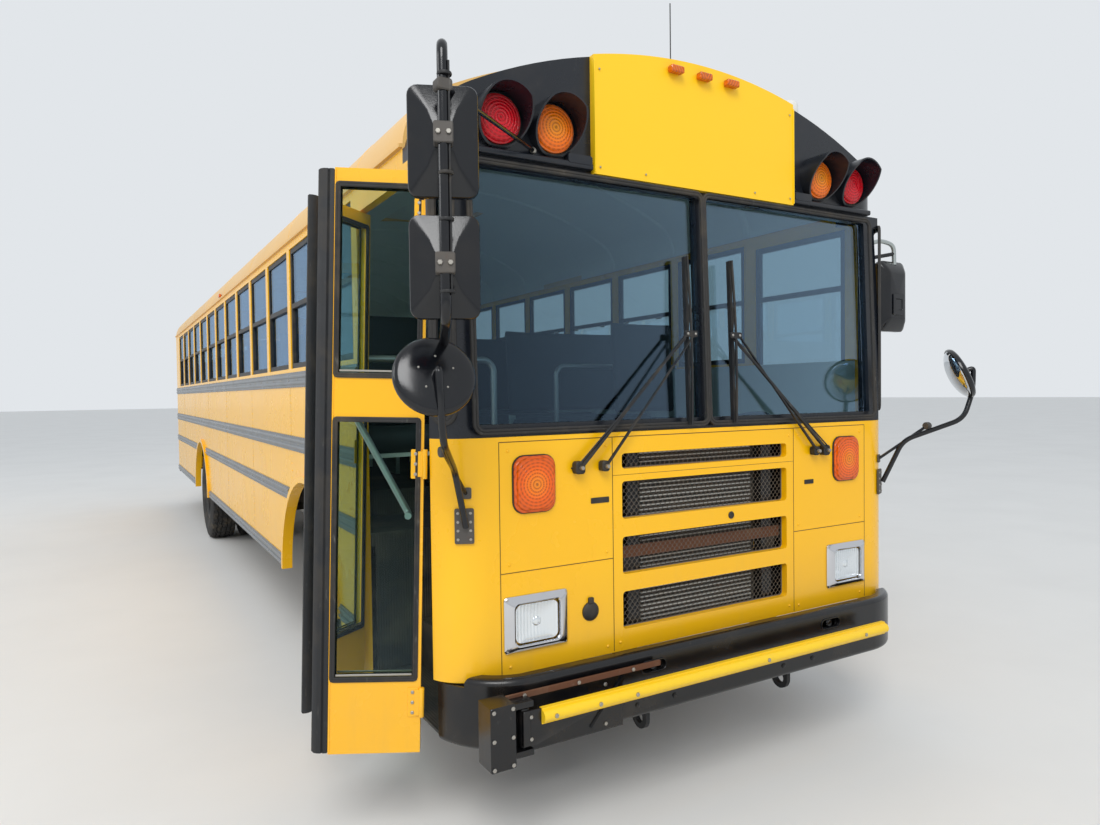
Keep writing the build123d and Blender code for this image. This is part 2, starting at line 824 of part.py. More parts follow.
front_plate_rises = [
    # station and height ranges from the eye
    (-46, 46, 0, 262),
    (-90, -40, 80, 230),
    (0, 190, 200, 262),
    (60, 190, 250, 330),
]
rear_plate_rises = [
    (-46, 46, 0, 120),
    (-200, 46, 60, 170),
    (-200, -120, 160, 340),
]


rail_stations = (84, body_length - 60)
rail_sheet = 9
cross_stations = (1650, 2900, 4300, 5700, 6650, 7850, 9000, 10300)
sill_stations = (2720, 3480, 4240, 5000, 5760, 6520, 8060, 8820, 9580, 10340)
sill_half = 1150


def chassis_rails():
    """Two long channels, open towards each other, with a tow plate at each end."""
    start, end = rail_stations
    channel = rect(-rail_half_width, rail_half_width, rail_low_z, rail_high_z)
    channel -= rect(-rail_half_width - 1, rail_half_width - rail_sheet, rail_low_z + rail_sheet,
                    rail_high_z - rail_sheet)
    rail = along_y(Pos(rail_x, 0) * channel, start, end - start)
    rail += tow_plate(front_tow_station, front_plate_rises)
    rail += tow_plate(rear_tow_station, rear_plate_rises)
    save("chassis_rails", gather(both(rail)))


def cross_members():
    """Channels across the frame, seated between the webs of the two rails, and the bar behind the grille."""
    half = rail_x + rail_half_width - rail_sheet
    channel = rect(-60, 60, rail_low_z + 40, rail_high_z - 40) - rect(-52, 61, rail_low_z + 48, rail_high_z - 48)
    members = [along_x(Pos(station, 0) * channel, -half, 2 * half) for station in cross_stations]
    bar = block(-450, 450, 43, 53, 972, 1022)
    for post in both(block(362, 420, 43, 53, rail_high_z, 1022)):
        bar += post
    save("cross_members", gather(members + [bar]))


def floor_sills():
    """Bars across the tops of the rails that carry the floor."""
    save("floor_sills", gather(block(-sill_half, sill_half, station - 25, station + 25, rail_high_z,
                                     floor_z - floor_thick) for station in sill_stations))


# Axles, springs and steering

front_wheel_x = 1005
rear_outer_x = 1050
rear_inner_x = rear_outer_x - 330
king_x = 820
king_radius = 20
running_gap = 0.05
boss_radius, boss_half = 45, 60
lug_gap, lug_thick = 6, 34
spindle_radius = 38
arm_reach = 220
tie_rod_z = 402
rear_shaft_radius = 45
beam_z = 420
beam_half = 45
spring_width = 76


def front_axle():
    """Dropped beam with a bored boss at each end, and its two leaf springs."""
    half = [(0, beam_z - beam_half), (560, beam_z - beam_half), (690, 480), (king_x, 480),
            (king_x, 570), (650, 570), (500, beam_z + beam_half), (0, beam_z + beam_half)]
    beam = along_y(Polygon(*half, align=None), front_axle_station - 42, 84)
    boss = Pos(king_x, at(front_axle_station), tyre_radius) * Cylinder(boss_radius, 2 * boss_half)
    bore = Pos(king_x, at(front_axle_station), tyre_radius) * Cylinder(king_radius + running_gap, 200)
    side = beam + boss - bore
    side += leaf_spring(front_axle_station, rail_x, 650, beam_z + beam_half, 66, 606, 14, rail_low_z)
    save("front_axle", side + mirrored(side))


def leaf_spring(station, x, reach, seat_z, thick, end_z, end_thick, hanger_z):
    """Bowed spring pack under a frame rail, with a hanger at each end."""
    lower = ThreePointArc((-reach, end_z), (0, seat_z), (reach, end_z))
    upper = ThreePointArc((reach, end_z + end_thick), (0, seat_z + thick), (-reach, end_z + end_thick))
    ends = [Line((reach, end_z), (reach, end_z + end_thick)), Line((-reach, end_z + end_thick), (-reach, end_z))]
    pack = make_face(Curve(children=[lower, upper] + ends).edges())
    spring = along_x(Pos(station, 0) * pack, x - spring_width / 2, spring_width)
    spring += block(x - 38, x + 38, station - 60, station + 60, seat_z - 8, seat_z + 20)
    for end in (-reach, reach):
        spring += block(x - 30, x + 30, station + end - 40, station + end + 40, end_z, hanger_z)
    return spring


def knuckle(side):
    """Forked knuckle with its king pin, spindle and steering arm."""
    place = Pos(king_x, at(front_axle_station), tyre_radius)
    low = boss_half + lug_gap
    piece = place * Cylinder(king_radius, 2 * (low + lug_thick))
    for sign in (-1, 1):
        piece += place * Pos(0, 0, sign * (low + lug_thick / 2)) * Cylinder(boss_radius, lug_thick)
        piece += place * Pos(36, 0, sign * (low + lug_thick / 2)) * Box(72, 84, lug_thick)
    piece += place * Pos(62, 0, 0) * Box(20, 84, 2 * (low + lug_thick))
    piece += place * Pos(70, 0, 0) * Rot(Y=90) * Cylinder(190, 6)
    piece += place * Pos(52, 0, 0) * Rot(Y=90) * Cylinder(
        spindle_radius, 268, align=(Align.CENTER, Align.CENTER, Align.MIN))
    arm_z = -(low + lug_thick / 2)
    piece += place * Pos(0, arm_reach / 2, arm_z) * Box(44, arm_reach, lug_thick)
    piece += place * Pos(0, arm_reach, arm_z) * Cylinder(28, lug_thick)
    pin_top = tyre_radius + arm_z
    pin = Pos(king_x, at(front_axle_station) + arm_reach, (pin_top + tie_rod_z - 20) / 2)
    piece += pin * Cylinder(12, pin_top - tie_rod_z + 20)
    return piece if side > 0 else mirrored(piece)


def tie_rod():
    half = king_x
    y = at(front_axle_station) + arm_reach
    bar = Pos(0, y, tie_rod_z) * Rot(Y=90) * Cylinder(15, 2 * half)
    for x in (-half, half):
        bar += Pos(x, y, tie_rod_z) * Cylinder(27, 40)
    for x in (-half, half):
        bar -= Pos(x, y, tie_rod_z) * Cylinder(12 + running_gap, 80)
    save("tie_rod", bar)


def rear_axle():
    """Banjo housing with its shaft ends, leaf springs and propeller shaft."""
    centre = Pos(0, at(rear_axle_station), tyre_radius)
    axle = centre * Rot(Y=90) * Cylinder(62, 1270)
    axle += centre * Rot(Y=90) * Cylinder(rear_shaft_radius, 2 * 985)
    axle += centre * Rot(X=90) * Cylinder(178, 150)
    axle += centre * Rot(X=90) * Pos(0, 0, 125) * Cone(70, 130, 110)
    side = leaf_spring(rear_axle_station, 478, 740, tyre_radius + 62, 70, 690, 16, 770)
    for end in (-740, 740):
        side += block(427.5, 460, rear_axle_station + end - 40, rear_axle_station + end + 40, 700, 770)
    axle = axle + side + mirrored(side)
    axle += rod(42, (0, 1490, 615), (0, rear_axle_station - 170, 545))
    save("rear_axle", axle)


# Wheels

tread_half = 108
tyre_half = tyre_width / 2
rim_half = 112
hub_radius = 92
hand_hole_count = 5


def spun(profile, x, station):
    """Profile of distance from the wheel's middle and radius, spun about the axle line."""
    solid = revolve(profile, axis=Axis.X)
    return Pos(x, at(station), tyre_radius) * solid


def tyre_profile():
    outline = [
        Line((-100, rim_radius), (-100, 303)),
        Line((-100, 303), (-114, 308)),
        ThreePointArc((-114, 308), (-tyre_half, 400), (-122, 497)),
        Line((-122, 497), (-tread_half, tyre_radius)),
        Line((-tread_half, tyre_radius), (tread_half, tyre_radius)),
        Line((tread_half, tyre_radius), (122, 497)),
        ThreePointArc((122, 497), (tyre_half, 400), (114, 308)),
        Line((114, 308), (100, 303)),
        Line((100, 303), (100, rim_radius)),
        Line((100, rim_radius), (-100, rim_radius)),
    ]
    return make_face(Curve(children=outline).edges())


def rim_profile(dish):
    """Rim barrel with a dished disc; dish is the disc's distance outwards from the middle."""
    barrel = Polygon((-rim_half, 282), (-95, 262), (95, 262), (rim_half, 282), (rim_half, 301),
                     (101, 301), (101, rim_radius - 1), (-101, rim_radius - 1), (-101, 301), (-rim_half, 301),
                     align=None)
    inner = dish * 0.45
    disc_shape = Polygon((inner, 262), (dish, 190), (dish, 60), (dish - 12, 60), (dish - 12, 182),
                         (inner - 14, 262), align=None)
    return barrel, disc_shape


def rim(x, station, dish, side):
    barrel, disc_shape = rim_profile(dish)
    wheel = spun(barrel, x, station) + spun(disc_shape, x, station)
    for number in range(hand_hole_count):
        turn = Rot(X=360 / hand_hole_count * number)
        hole = turn * Pos(dish * 0.7, 0, 222) * Rot(Y=90) * Cylinder(24, 120)
        wheel -= Pos(x, at(station), tyre_radius) * hole
    return wheel if side > 0 else mirrored(wheel)


def hub(x0, x1, drum_x0, drum_x1, bore, bore_end):
    """Hub barrel with its brake drum, bored for the spindle."""
    profile = Polygon((x0, bore + running_gap), (x0, hub_radius), (drum_x0 + 40, hub_radius), (drum_x0 + 40, 190),
                      (drum_x0, 190), (drum_x0, 205), (drum_x1, 205), (drum_x1, hub_radius), (x1 - 60, hub_radius),
                      (x1 - 50, 62), (x1, 56), (x1, 0), (bore_end, 0), (bore_end, bore + running_gap), align=None)
    return profile


def front_wheel(side):
    label = "left" if side > 0 else "right"
    tyre = spun(tyre_profile(), side * front_wheel_x, front_axle_station)
    save(f"tyre_front_{label}", tyre)
    wheel = rim(front_wheel_x, front_axle_station, 150, 1)
    profile = hub(898, 1216, 898, 1040, spindle_radius, 1145)
    wheel += spun(profile, 0, front_axle_station)
    wheel += spun(Polygon((1139, 60), (1139, hub_radius + 2), (1147, hub_radius + 2), (1147, 60), align=None), 0,
                  front_axle_station)
    save(f"rim_front_{label}", wheel if side > 0 else mirrored(wheel))


def rear_wheels(side):
    label = "left" if side > 0 else "right"
    tyres = [spun(tyre_profile(), side * x, rear_axle_station) for x in (rear_outer_x, rear_inner_x)]
    save(f"tyres_rear_{label}", gather(tyres))
    wheels = rim(rear_outer_x, rear_axle_station, -159, 1) + rim(rear_inner_x, rear_axle_station, 171, 1)
    wheels += spun(hub(660, 1060, 660, 840, rear_shaft_radius, 992), 0, rear_axle_station)
    save(f"rims_rear_{label}", wheels if side > 0 else mirrored(wheels))


# Engine, radiator, tank and exhaust

def engine():
    block_shape = block(-290, 290, 360, 1480, 575, 1330)
    radiator = block(-345, 345, 96, 170, 655, 1396)
    fan = block(-120, 120, 170, 360, 800, 1100)
    save("engine", block_shape + radiator + fan)


def tank_and_exhaust():
    tank = block(470, 1080, 3000, 4300, 560, 890)
    muffler = Pos(-620, at(4000), 700) * Rot(X=90) * Cylinder(120, 1100)
    pipe = tube(32, [(-620, 4540, 700), (-620, 4950, 600), (-260, 5500, 600), (-260, 6200, 640), (-260, 8300, 640),
                     (-260, 8600, 600), (-560, 9200, 600), (-560, 10100, 450), (-560, 10560, 450)], 90)
    lead = tube(32, [(-250, 1481, 600), (-250, 1900, 600), (-620, 2700, 600), (-620, 3460, 700)], 180)
    save("tank_and_exhaust", gather([tank, muffler + pipe, lead]))


# Cab: dashboard, engine cover, steering wheel

steering_radius = 228


def dashboard():
    shelf = nose_plan(seat_floor_half - 20, 66, 110, 430)
    shelf -= rect(-1300, -step_inner_x + 10, 176, 440)
    top = along_z(shelf, 1404, 40)
    top += block(372, 1130, 330, 430, floor_z + 1, 1410)
    column_base = (760, 520, floor_z + 14)
    wheel_centre = (760, 690, 1418)
    column = rod(24, column_base, wheel_centre)
    tilt = Pos(wheel_centre[0], at(wheel_centre[1]), wheel_centre[2]) * Rot(X=-24)
    grip = Plane.XZ * Pos(steering_radius, 0) * RegularPolygon(14, 6)
    ring = tilt * revolve(grip, axis=Axis.Z)
    spokes = tilt * (Box(440, 34, 12) + Pos(0, 100, 0) * Box(30, 220, 12) + Cylinder(52, 26))
    save("dashboard", top)
    save("steering_wheel", ring + spokes + column)


def engine_cover():
    outer = block(-352, 352, 434, 1590, floor_z + 1, 1395)
    edges = outer.edges().filter_by(Axis.Y).group_by(Axis.Z)[-1]
    outer = fillet(edges, 70)
    save("engine_cover", outer - block(-332, 332, 400, 1570, floor_z - 10, 1372))


# Seats: benches either side of the aisle, and the driver's seat

seat_first_station = 1830
seat_pitch = 700
seat_rows = 12
seat_inner_x, seat_outer_x = 195, 1165
seat_base_z = 1340


def bench(station, x0, x1):
    """Cushion and back of one bench, each a chamfered bar along X."""
    cushion = Polygon((0, 30), (25, 0), (400, 0), (400, 95), (370, 118), (30, 125), (0, 95), align=None)
    back = Polygon((392, 140), (455, 135), (500, 700), (485, 735), (450, 735), (432, 705), align=None)
    place = Pos(station, seat_base_z + 12)
    return [along_x(place * cushion, x0, x1 - x0), along_x(place * back, x0, x1 - x0)]


def bench_frame(station, x0, x1):
    frame = block(x0, x1, station + 30, station + 420, seat_base_z - 8, seat_base_z + 11)
    frame += block(x0 + 20, x0 + 50, station + 60, station + 340, floor_z + 1, seat_base_z)
    frame += block(x0 + 20, x0 + 60, station + 401, station + 430, seat_base_z - 8, seat_base_z + 144)
    return frame


def seat_places():
    """Station and X range of every seat."""
    rows = []
    for number in range(seat_rows):
        station = seat_first_station + seat_pitch * number
        for side in (-1, 1):
            rows.append((station, side, seat_inner_x))
    rows.append((seat_first_station - seat_pitch, -1, 400))
    return rows


def seats():
    pads = []
    frames = []
    for station, side, inner_x in seat_places():
        pieces = bench(station, inner_x, seat_outer_x)
        frame = bench_frame(station, inner_x, seat_outer_x)
        pads.extend(pieces if side > 0 else [mirrored(piece) for piece in pieces])
        frames.append(frame if side > 0 else mirrored(frame))
    driver_station = 1010
    pads.extend(bench(driver_station, 530, 990))
    frames.append(block(620, 900, driver_station + 60, driver_station + 340, floor_z + 1, seat_base_z + 11))
    save("seat_pads", gather(pads))
    save("seat_frames", gather(frames))


def cabin_rails():
    """Grab rails at the door and the guard rail behind the driver."""
    rails = [
        tube(16, [(-1110, 127, 720), (-1110, 165, 720), (-1110, 165, 1010), (-730, 165, 1330), (-730, 165, 1403)], 18),
        tube(16, [(-540, 950, 1021), (-540, 950, 1800), (-1175, 950, 1800)], 60),
        tube(16, [(230, 1640, 1021), (230, 1640, 1800), (1175, 1640, 1800)], 60),
    ]
    save("cabin_rails", gather(rails))


# Mirrors on both front corners, and the wipers

mirror_x = 1365
head_width, head_depth, head_corner = 180, 76, 30
door_side_heads = [
    # middle height and height of the head
    (2342, 312),
    (1992, 290),
]
post_radius = 15
cross_mirror = (1334, -262, 1688)
cross_radius = 118
driver_head = (1392, 131, 2118)
driver_head_size = (198, 366)


def on_corner(angle, out, z):
    """Point on the +X front corner, out from its surface, at an angle from straight ahead."""
    a = math.radians(angle)
    reach = corner_radius + out
    return (body_half - corner_radius + reach * math.sin(a), corner_radius - reach * math.cos(a), z)


def mirror_head(x, station, z, width, height):
    """Head with a flat glass side to the rear and a hipped back to the front."""
    face = RectangleRounded(width, height, head_corner)
    back = Plane(origin=(x, at(station), z), x_dir=(1, 0, 0), z_dir=(0, -1, 0))
    case = Plane(origin=(x, at(station), z), x_dir=(-1, 0, 0), z_dir=(0, 1, 0))
    return extrude(case * face, amount=head_depth / 2) + extrude(back * face, amount=head_depth / 2, taper=48)


def door_side_post():
    """Post with two heads, each held by a clamp block, and the strut up to the cap."""
    post_station = mirror_station - head_depth / 2 - 22
    post = tube(post_radius, [on_corner(40, 12, 2560), (mirror_x, post_station, 2600),
                              (mirror_x, post_station, 1840), on_corner(48, 12, 1740)], 60)
    for middle, height in door_side_heads:
        post += mirror_head(mirror_x, mirror_station, middle, head_width, height)
        clamp = (mirror_station - head_depth / 2 + 4, post_station - 14)
        post += block(mirror_x - 27, mirror_x + 27, *clamp, middle - 28, middle + 28)
    post += rod(7, (mirror_x, post_station, 2470), (805, cap_face - 8, 2532))
    return post


def driver_side_head():
    """One tall head hung from a loop of two tubes."""
    x, station, z = driver_head
    width, height = driver_head_size
    top = z + height / 2
    head = mirror_head(x, station, z, width, height)
    loop = tube(11, [(1224, 176, 2378), (1320, 150, 2408), (x + 10, station, top + 86), (x + 14, station, top - 20)], 34)
    loop += rod(11, (1226, 176, 2308), (x + 12, station, top + 40))
    return head + loop


def cross_view(bowl_tilt):
    """Round bowl on a bent arm, with a short strut, from a plate low on the corner."""
    cx, cs, cz = cross_mirror
    bowl = Pos(cx, at(cs), cz) * Rot(X=bowl_tilt) * Pos(0, -front_y, 0) * dome(cross_radius, 46, 0, 0, 0, 1)
    plate_x, plate_s, plate_z = on_corner(26, 11, 1175)
    elbow = (1190, -70, 1380)
    arm = tube(12, [(cx, cs - 8, cz - 40), (cx, cs - 8, cz - 150), elbow, (plate_x + 6, plate_s - 14, plate_z)], 40)
    strut = rod(8, (1262, -150, 1452), on_corner(24, 8, 1290))
    foot = Pos(plate_x, at(plate_s), plate_z) * Rot(Z=26) * Box(68, 14, 120)
    return bowl + arm + strut + foot


def mirrors():
    door_side = [mirrored(door_side_post()), mirrored(cross_view(-18))]
    save("mirrors", gather(door_side + [driver_side_head(), cross_view(-18)]))


wiper_table = [
    # X of the main pivot, X of the second pivot, X of the blade
    (-666, -551, -118),
    (686, 620, 128),
]
pivot_z = 1355
blade_z = (1500, 2190)
arm_tip_z = 1870


def wipers():
    """Each blade on two parallel arms, so that it stays upright."""
    pieces = []
    for main_x, second_x, blade_x in wiper_table:
        blade_station = glass_station - 54
        wiper = along_y(rect(blade_x - 9, blade_x + 9, *blade_z), blade_station - 6, 30)
        for pivot_x, radius, offset in ((main_x, 9, -20), (second_x, 6, 20)):
            tip = (blade_x + offset, blade_station, arm_tip_z)
            wiper += along_y(Pos(pivot_x, pivot_z) * Circle(radius + 13), -42, 41)
            wiper += rod(radius, (pivot_x, -34, pivot_z), tip)
        wiper += block(blade_x - 30, blade_x + 30, blade_station - 9, blade_station + 9, arm_tip_z - 14, arm_tip_z + 14)
        pieces.append(wiper)
    save("wipers", gather(pieces))


# Crossing gate: motor box and plate on the bumper, arm lying across it

gate_z = 545
gate_hinge_x = -1000
gate_hinge_station = -176
gate_arm_station = -205
gate_arm_end_x = 860


def gate_bracket():
    box = block(-1140, -1050, -212, bumper_front, 402, 612)
    plate = block(-1050, -560, -136, bumper_front, 400, 596)
    ears = block(-1050, gate_hinge_x + 26, gate_hinge_station - 26, -136, 420, 440)
    ears += block(-1050, gate_hinge_x + 26, gate_hinge_station - 26, -136, 584, 604)
    pin = Pos(gate_hinge_x, at(gate_hinge_station), 512) * Cylinder(9, 184)
    save("gate_bracket", box + plate + ears + pin)


def gate_arm():
    sleeve = Pos(gate_hinge_x, at(gate_hinge_station), 512) * Cylinder(20, 130)
    bar = rod(21, (gate_hinge_x + 60, gate_arm_station, gate_z), (gate_arm_end_x, gate_arm_station, gate_z))
    web = Polygon((gate_hinge_x, 452), (gate_hinge_x + 40, 452), (gate_hinge_x + 320, 535),
                  (gate_hinge_x + 320, 560), (gate_hinge_x, 572), align=None)
    arm = along_y(web, gate_arm_station - 3, 8) + bar
    arm += block(gate_hinge_x - 14, gate_hinge_x + 14, gate_arm_station - 3, gate_hinge_station, 452, 572)
    arm = arm + sleeve - Pos(gate_hinge_x, at(gate_hinge_station), 512) * Cylinder(9 + running_gap, 300)
    save("gate_arm", arm)


# Stop arm on the driver's side, folded flat, and the roof hatches

stop_hinge_station = 1350
stop_z = 1543
stop_half = 228
stop_x = body_half + 56


def stop_arm():
    corner = stop_half / (1 + math.sqrt(2))
    points = [(stop_half, corner), (corner, stop_half), (-corner, stop_half), (-stop_half, corner),
              (-stop_half, -corner), (-corner, -stop_half), (corner, -stop_half), (stop_half, -corner)]
    sign = along_x(Pos(stop_hinge_station + 40 + stop_half, stop_z) * Polygon(*points, align=None), stop_x, 6)
    for dz in (-90, 90):
        sign += block(stop_x - 10, stop_x, stop_hinge_station, stop_hinge_station + 160, stop_z + dz - 14,
                      stop_z + dz + 14)
        sign += Pos(stop_x - 5, at(stop_hinge_station), stop_z + dz) * Cylinder(13, 44)
        sign -= Pos(stop_x - 5, at(stop_hinge_station), stop_z + dz) * Cylinder(7 + running_gap, 60)
    save("stop_arm", sign)


def stop_arm_base():
    base = block(body_half, body_half + 30, stop_hinge_station - 60, stop_hinge_station + 100, stop_z - 140,
                 stop_z + 140)
    for dz in (-130, 0, 130):
        base += block(body_half + 30, stop_x + 5, stop_hinge_station - 12, stop_hinge_station + 12,
                      stop_z + dz - 10 * (dz != 0), stop_z + dz + 10)
    base += Pos(stop_x - 5, at(stop_hinge_station), stop_z) * Cylinder(7, 290)
    save("stop_arm_base", base)


hatch_top_z = roof_top_z + 26
hatch_hinge_z = roof_top_z + 16
hatch_barrel_radius = 10


def roof_hatches():
    for number, station in enumerate(hatch_stations):
        half = hatch_half - 8
        lid = block(-half - 30, half + 30, station - half - 30, station + half + 30, roof_top_z + 6, hatch_top_z)
        lid += block(-half, half, station - half, station + half, roof_top_z - 40, roof_top_z + 7)
        lid += Pos(0, at(station - half - 30), hatch_hinge_z) * Rot(Y=90) * Cylinder(hatch_barrel_radius, 420)
        save(f"roof_hatch_{'front' if number == 0 else 'rear'}", lid)


side_walls()
rub_rails()
roof()
front_panel()
grille_screens()
windshield_frame()
front_cap()
roof_fittings()
sign_panel()
red_lamps()
amber_lamps()
headlamps()
floor()
entrance_steps()
rear_wall()
emergency_door()
window_frames()
save("body_glass", gather(windshield_panes() + side_panes()))
door_leaf("door_front", front_hinge_station, 1, front_leaf_open)
door_leaf("door_rear", rear_hinge_station, -1, rear_leaf_open)
front_bumper()
rear_bumper()
chassis_rails()
cross_members()
floor_sills()
front_axle()
for side, label in ((1, "left"), (-1, "right")):
    save(f"knuckle_{label}", knuckle(side))
    front_wheel(side)
    rear_wheels(side)
tie_rod()
rear_axle()
engine()
tank_and_exhaust()
dashboard()
engine_cover()
seats()
cabin_rails()
mirrors()
wipers()
gate_bracket()
gate_arm()
stop_arm()
stop_arm_base()
roof_hatches()
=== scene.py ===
import math

import bmesh
import bpy
import numpy as np
from mathutils import Matrix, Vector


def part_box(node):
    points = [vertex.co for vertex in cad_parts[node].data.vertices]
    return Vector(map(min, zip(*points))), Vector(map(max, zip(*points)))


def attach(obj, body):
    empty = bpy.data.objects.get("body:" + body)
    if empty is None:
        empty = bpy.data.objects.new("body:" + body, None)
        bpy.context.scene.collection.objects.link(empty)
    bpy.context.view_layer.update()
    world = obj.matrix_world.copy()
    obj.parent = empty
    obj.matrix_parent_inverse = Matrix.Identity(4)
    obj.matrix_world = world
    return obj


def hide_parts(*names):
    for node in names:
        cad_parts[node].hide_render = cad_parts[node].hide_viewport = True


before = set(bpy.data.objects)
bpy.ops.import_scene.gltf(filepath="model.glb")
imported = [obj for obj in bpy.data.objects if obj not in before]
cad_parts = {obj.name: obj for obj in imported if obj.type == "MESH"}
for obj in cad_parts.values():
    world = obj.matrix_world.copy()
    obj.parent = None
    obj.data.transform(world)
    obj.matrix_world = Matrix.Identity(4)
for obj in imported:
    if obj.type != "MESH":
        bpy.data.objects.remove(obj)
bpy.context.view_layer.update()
print("frame loaded:", len(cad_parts), "nodes")

# Places shared by the pieces, in metres. A station is a distance behind the front panel.
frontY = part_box("front_panel")[0].y
bodyLength = 10.610
firstPillar = 0.955
windowPitch = 0.696
windowCount = 13
frontAxle = 1.970
rearAxle = 7.250
wheelHeight = 0.525
sideEnd = 10.45  # station where side sheets and roof meet the rear
capStation = 0.0594  # face of the front roof cap
rearStation = bodyLength + 0.001
cornerX = 1.040  # centre of the round front corners
cornerRadius = 0.180
lampAt = {"amber": (0.722, 2.622), "red": (0.950, 2.622), "turn": (0.850, 1.306)}  # X and Z of each pair
rearHigh = 2.642
sideNames = ((1, "left"), (-1, "right"))
forwards = (0, -1, 0)


def at(station):  # Y of a station
    return frontY + station


# Shapes are pairs of arrays: points, and quads that index them

toFront = ((1, 0, 0), (0, 0, 1), (0, -1, 0))  # across, up and outwards of a face that looks forwards
toRear = ((-1, 0, 0), (0, 0, 1), (0, 1, 0))
toLeft = ((0, 1, 0), (0, 0, 1), (1, 0, 0))
toRight = ((0, -1, 0), (0, 0, 1), (-1, 0, 0))
toTop = ((1, 0, 0), (0, 1, 0), (0, 0, 1))


def quadsOf(rows, cols, wrapRows=False, wrapCols=True):
    # quad of a cell: corners (i, j), (i, j + 1), (i + 1, j + 1), (i + 1, j), with i and j wrapped where asked
    i = np.arange(rows if wrapRows else rows - 1)[:, None]
    j = np.arange(cols if wrapCols else cols - 1)[None, :]
    down = (i + 1) % rows
    along = (j + 1) % cols
    corners = [i * cols + j, i * cols + along, down * cols + along, down * cols + j]
    return np.stack(corners, -1).reshape(-1, 4)


def surface(grid, wrapRows=False, wrapCols=True):
    # points of a grid of rows and columns, with a quad for each cell
    grid = np.asarray(grid, float)
    return grid.reshape(-1, 3), quadsOf(grid.shape[0], grid.shape[1], wrapRows, wrapCols)


def joined(shapes):
    # many shapes as one: the quads of each count on from the points before it
    points, quads, count = [], [], 0
    for shapePoints, shapeQuads in shapes:
        points.append(shapePoints)
        quads.append(shapeQuads + count)
        count += len(shapePoints)
    return np.concatenate(points), np.concatenate(quads)


def mirroredX(shapes):
    # the same shapes on the other side of the centreline
    return [(points * np.array((-1, 1, 1)), quads[:, ::-1]) for points, quads in shapes]


def bothSides(shapes):
    return list(shapes) + mirroredX(shapes)


def placed(local, origin, axes):
    # origin plus each local coordinate times its axis
    return np.asarray(local, float) @ np.asarray(axes, float) + np.asarray(origin, float)


def lifted(outline, out):
    # outline of two coordinates, with the distance out as the third
    return np.concatenate([outline, np.full((len(outline), 1), out)], 1)


def roundedOutline(halfA, halfB, radius, steps=5):
    # four quarter circles, each about its own corner centre
    turns = np.radians(np.linspace(0, 90, steps + 1))
    angle = (np.arange(4)[:, None] * math.pi / 2 + turns[None, :]).ravel()
    signA = np.repeat((1, -1, -1, 1), steps + 1)
    signB = np.repeat((1, 1, -1, -1), steps + 1)
    a = signA * (halfA - radius) + radius * np.cos(angle)
    b = signB * (halfB - radius) + radius * np.sin(angle)
    return np.stack([a, b], -1)


def ringsOf(rows, steps):
    # rounded rectangles: rows of half width, half height, corner radius and distance out
    return [lifted(roundedOutline(halfA, halfB, radius, steps), out) for halfA, halfB, radius, out in rows]


def stacked(rows, origin, axes, steps=5):
    # rounded rectangles stacked outwards, the first and the last closed on their middles
    rings = ringsOf(rows, steps)
    rings = [rings[0] * (0, 0, 1)] + rings + [rings[-1] * (0, 0, 1)]
    return surface(placed(rings, origin, axes))


def slab(origin, axes, halfA, halfB, depth, radius=0.004, edge=0.002, steps=3, start=0.0):
    # block with rounded corners and eased edges, from start outwards by depth
    low, high = start, start + depth
    eased = max(radius - edge, 0.0002)
    rows = [(halfA - edge, halfB - edge, eased, low), (halfA, halfB, radius, low + edge),
            (halfA, halfB, radius, high - edge), (halfA - edge, halfB - edge, eased, high)]
    return stacked(rows, origin, axes, steps)


def lathed(profile, origin, axes, sides=24):
    # profile of radius and distance out, turned about the outward axis: a point is
    # radius times the cosine, radius times the sine, and the distance out
    profile = np.asarray(profile, float)
    angle = np.linspace(0, 2 * math.pi, sides, endpoint=False)
    radius = profile[:, 0][:, None]
    out = np.repeat(profile[:, 1][:, None], sides, 1)
    local = np.stack([radius * np.cos(angle), radius * np.sin(angle), out], -1)
    return surface(placed(local, origin, axes))


def barrel(half, origin, axes, sides):
    # lathed piece with the same profile, given as radius and height, above and below its origin
    return lathed([(r, -h) for r, h in half] + [(r, h) for r, h in half[::-1]], origin, axes, sides)


def roundedPath(corners, bend, steps=6):
    # polyline whose corners are eased by a curve from one side of the corner to the other
    corners = np.asarray(corners, float)
    path = [corners[0][None]]
    share = np.linspace(0, 1, steps + 1)[:, None]
    for before, here, after in zip(corners, corners[1:], corners[2:]):
        inward, outward = before - here, after - here
        reach = min(bend, 0.48 * np.linalg.norm(inward), 0.48 * np.linalg.norm(outward))
        a = here + inward / np.linalg.norm(inward) * reach
        b = here + outward / np.linalg.norm(outward) * reach
        path.append((1 - share) ** 2 * a + 2 * share * (1 - share) * here + share ** 2 * b)
    path.append(corners[-1][None])
    return np.concatenate(path)


def alongPath(section, path, closed=False, lookOut=None):
    # section of two coordinates carried along a path, square to it, its first axis towards lookOut
    section, path = np.asarray(section, float), np.asarray(path, float)
    if closed:
        tangent = np.roll(path, -1, 0) - np.roll(path, 1, 0)
    else:
        tangent = np.gradient(path, axis=0)
    tangent /= np.linalg.norm(tangent, axis=1)[:, None]
    if lookOut is None:
        lookOut = np.linalg.svd(path - path.mean(0) + 1e-9)[2][-1]
    side = np.cross(np.cross(tangent, lookOut), tangent)
    side /= np.linalg.norm(side, axis=1)[:, None]
    other = np.cross(tangent, side)
    rings = path[:, None] + section[None, :, :1] * side[:, None] + section[None, :, 1:] * other[:, None]
    if not closed:
        rings = np.concatenate([np.repeat(path[:1, None], len(section), 1), rings,
                                np.repeat(path[-1:, None], len(section), 1)])
    return surface(rings, wrapRows=closed)


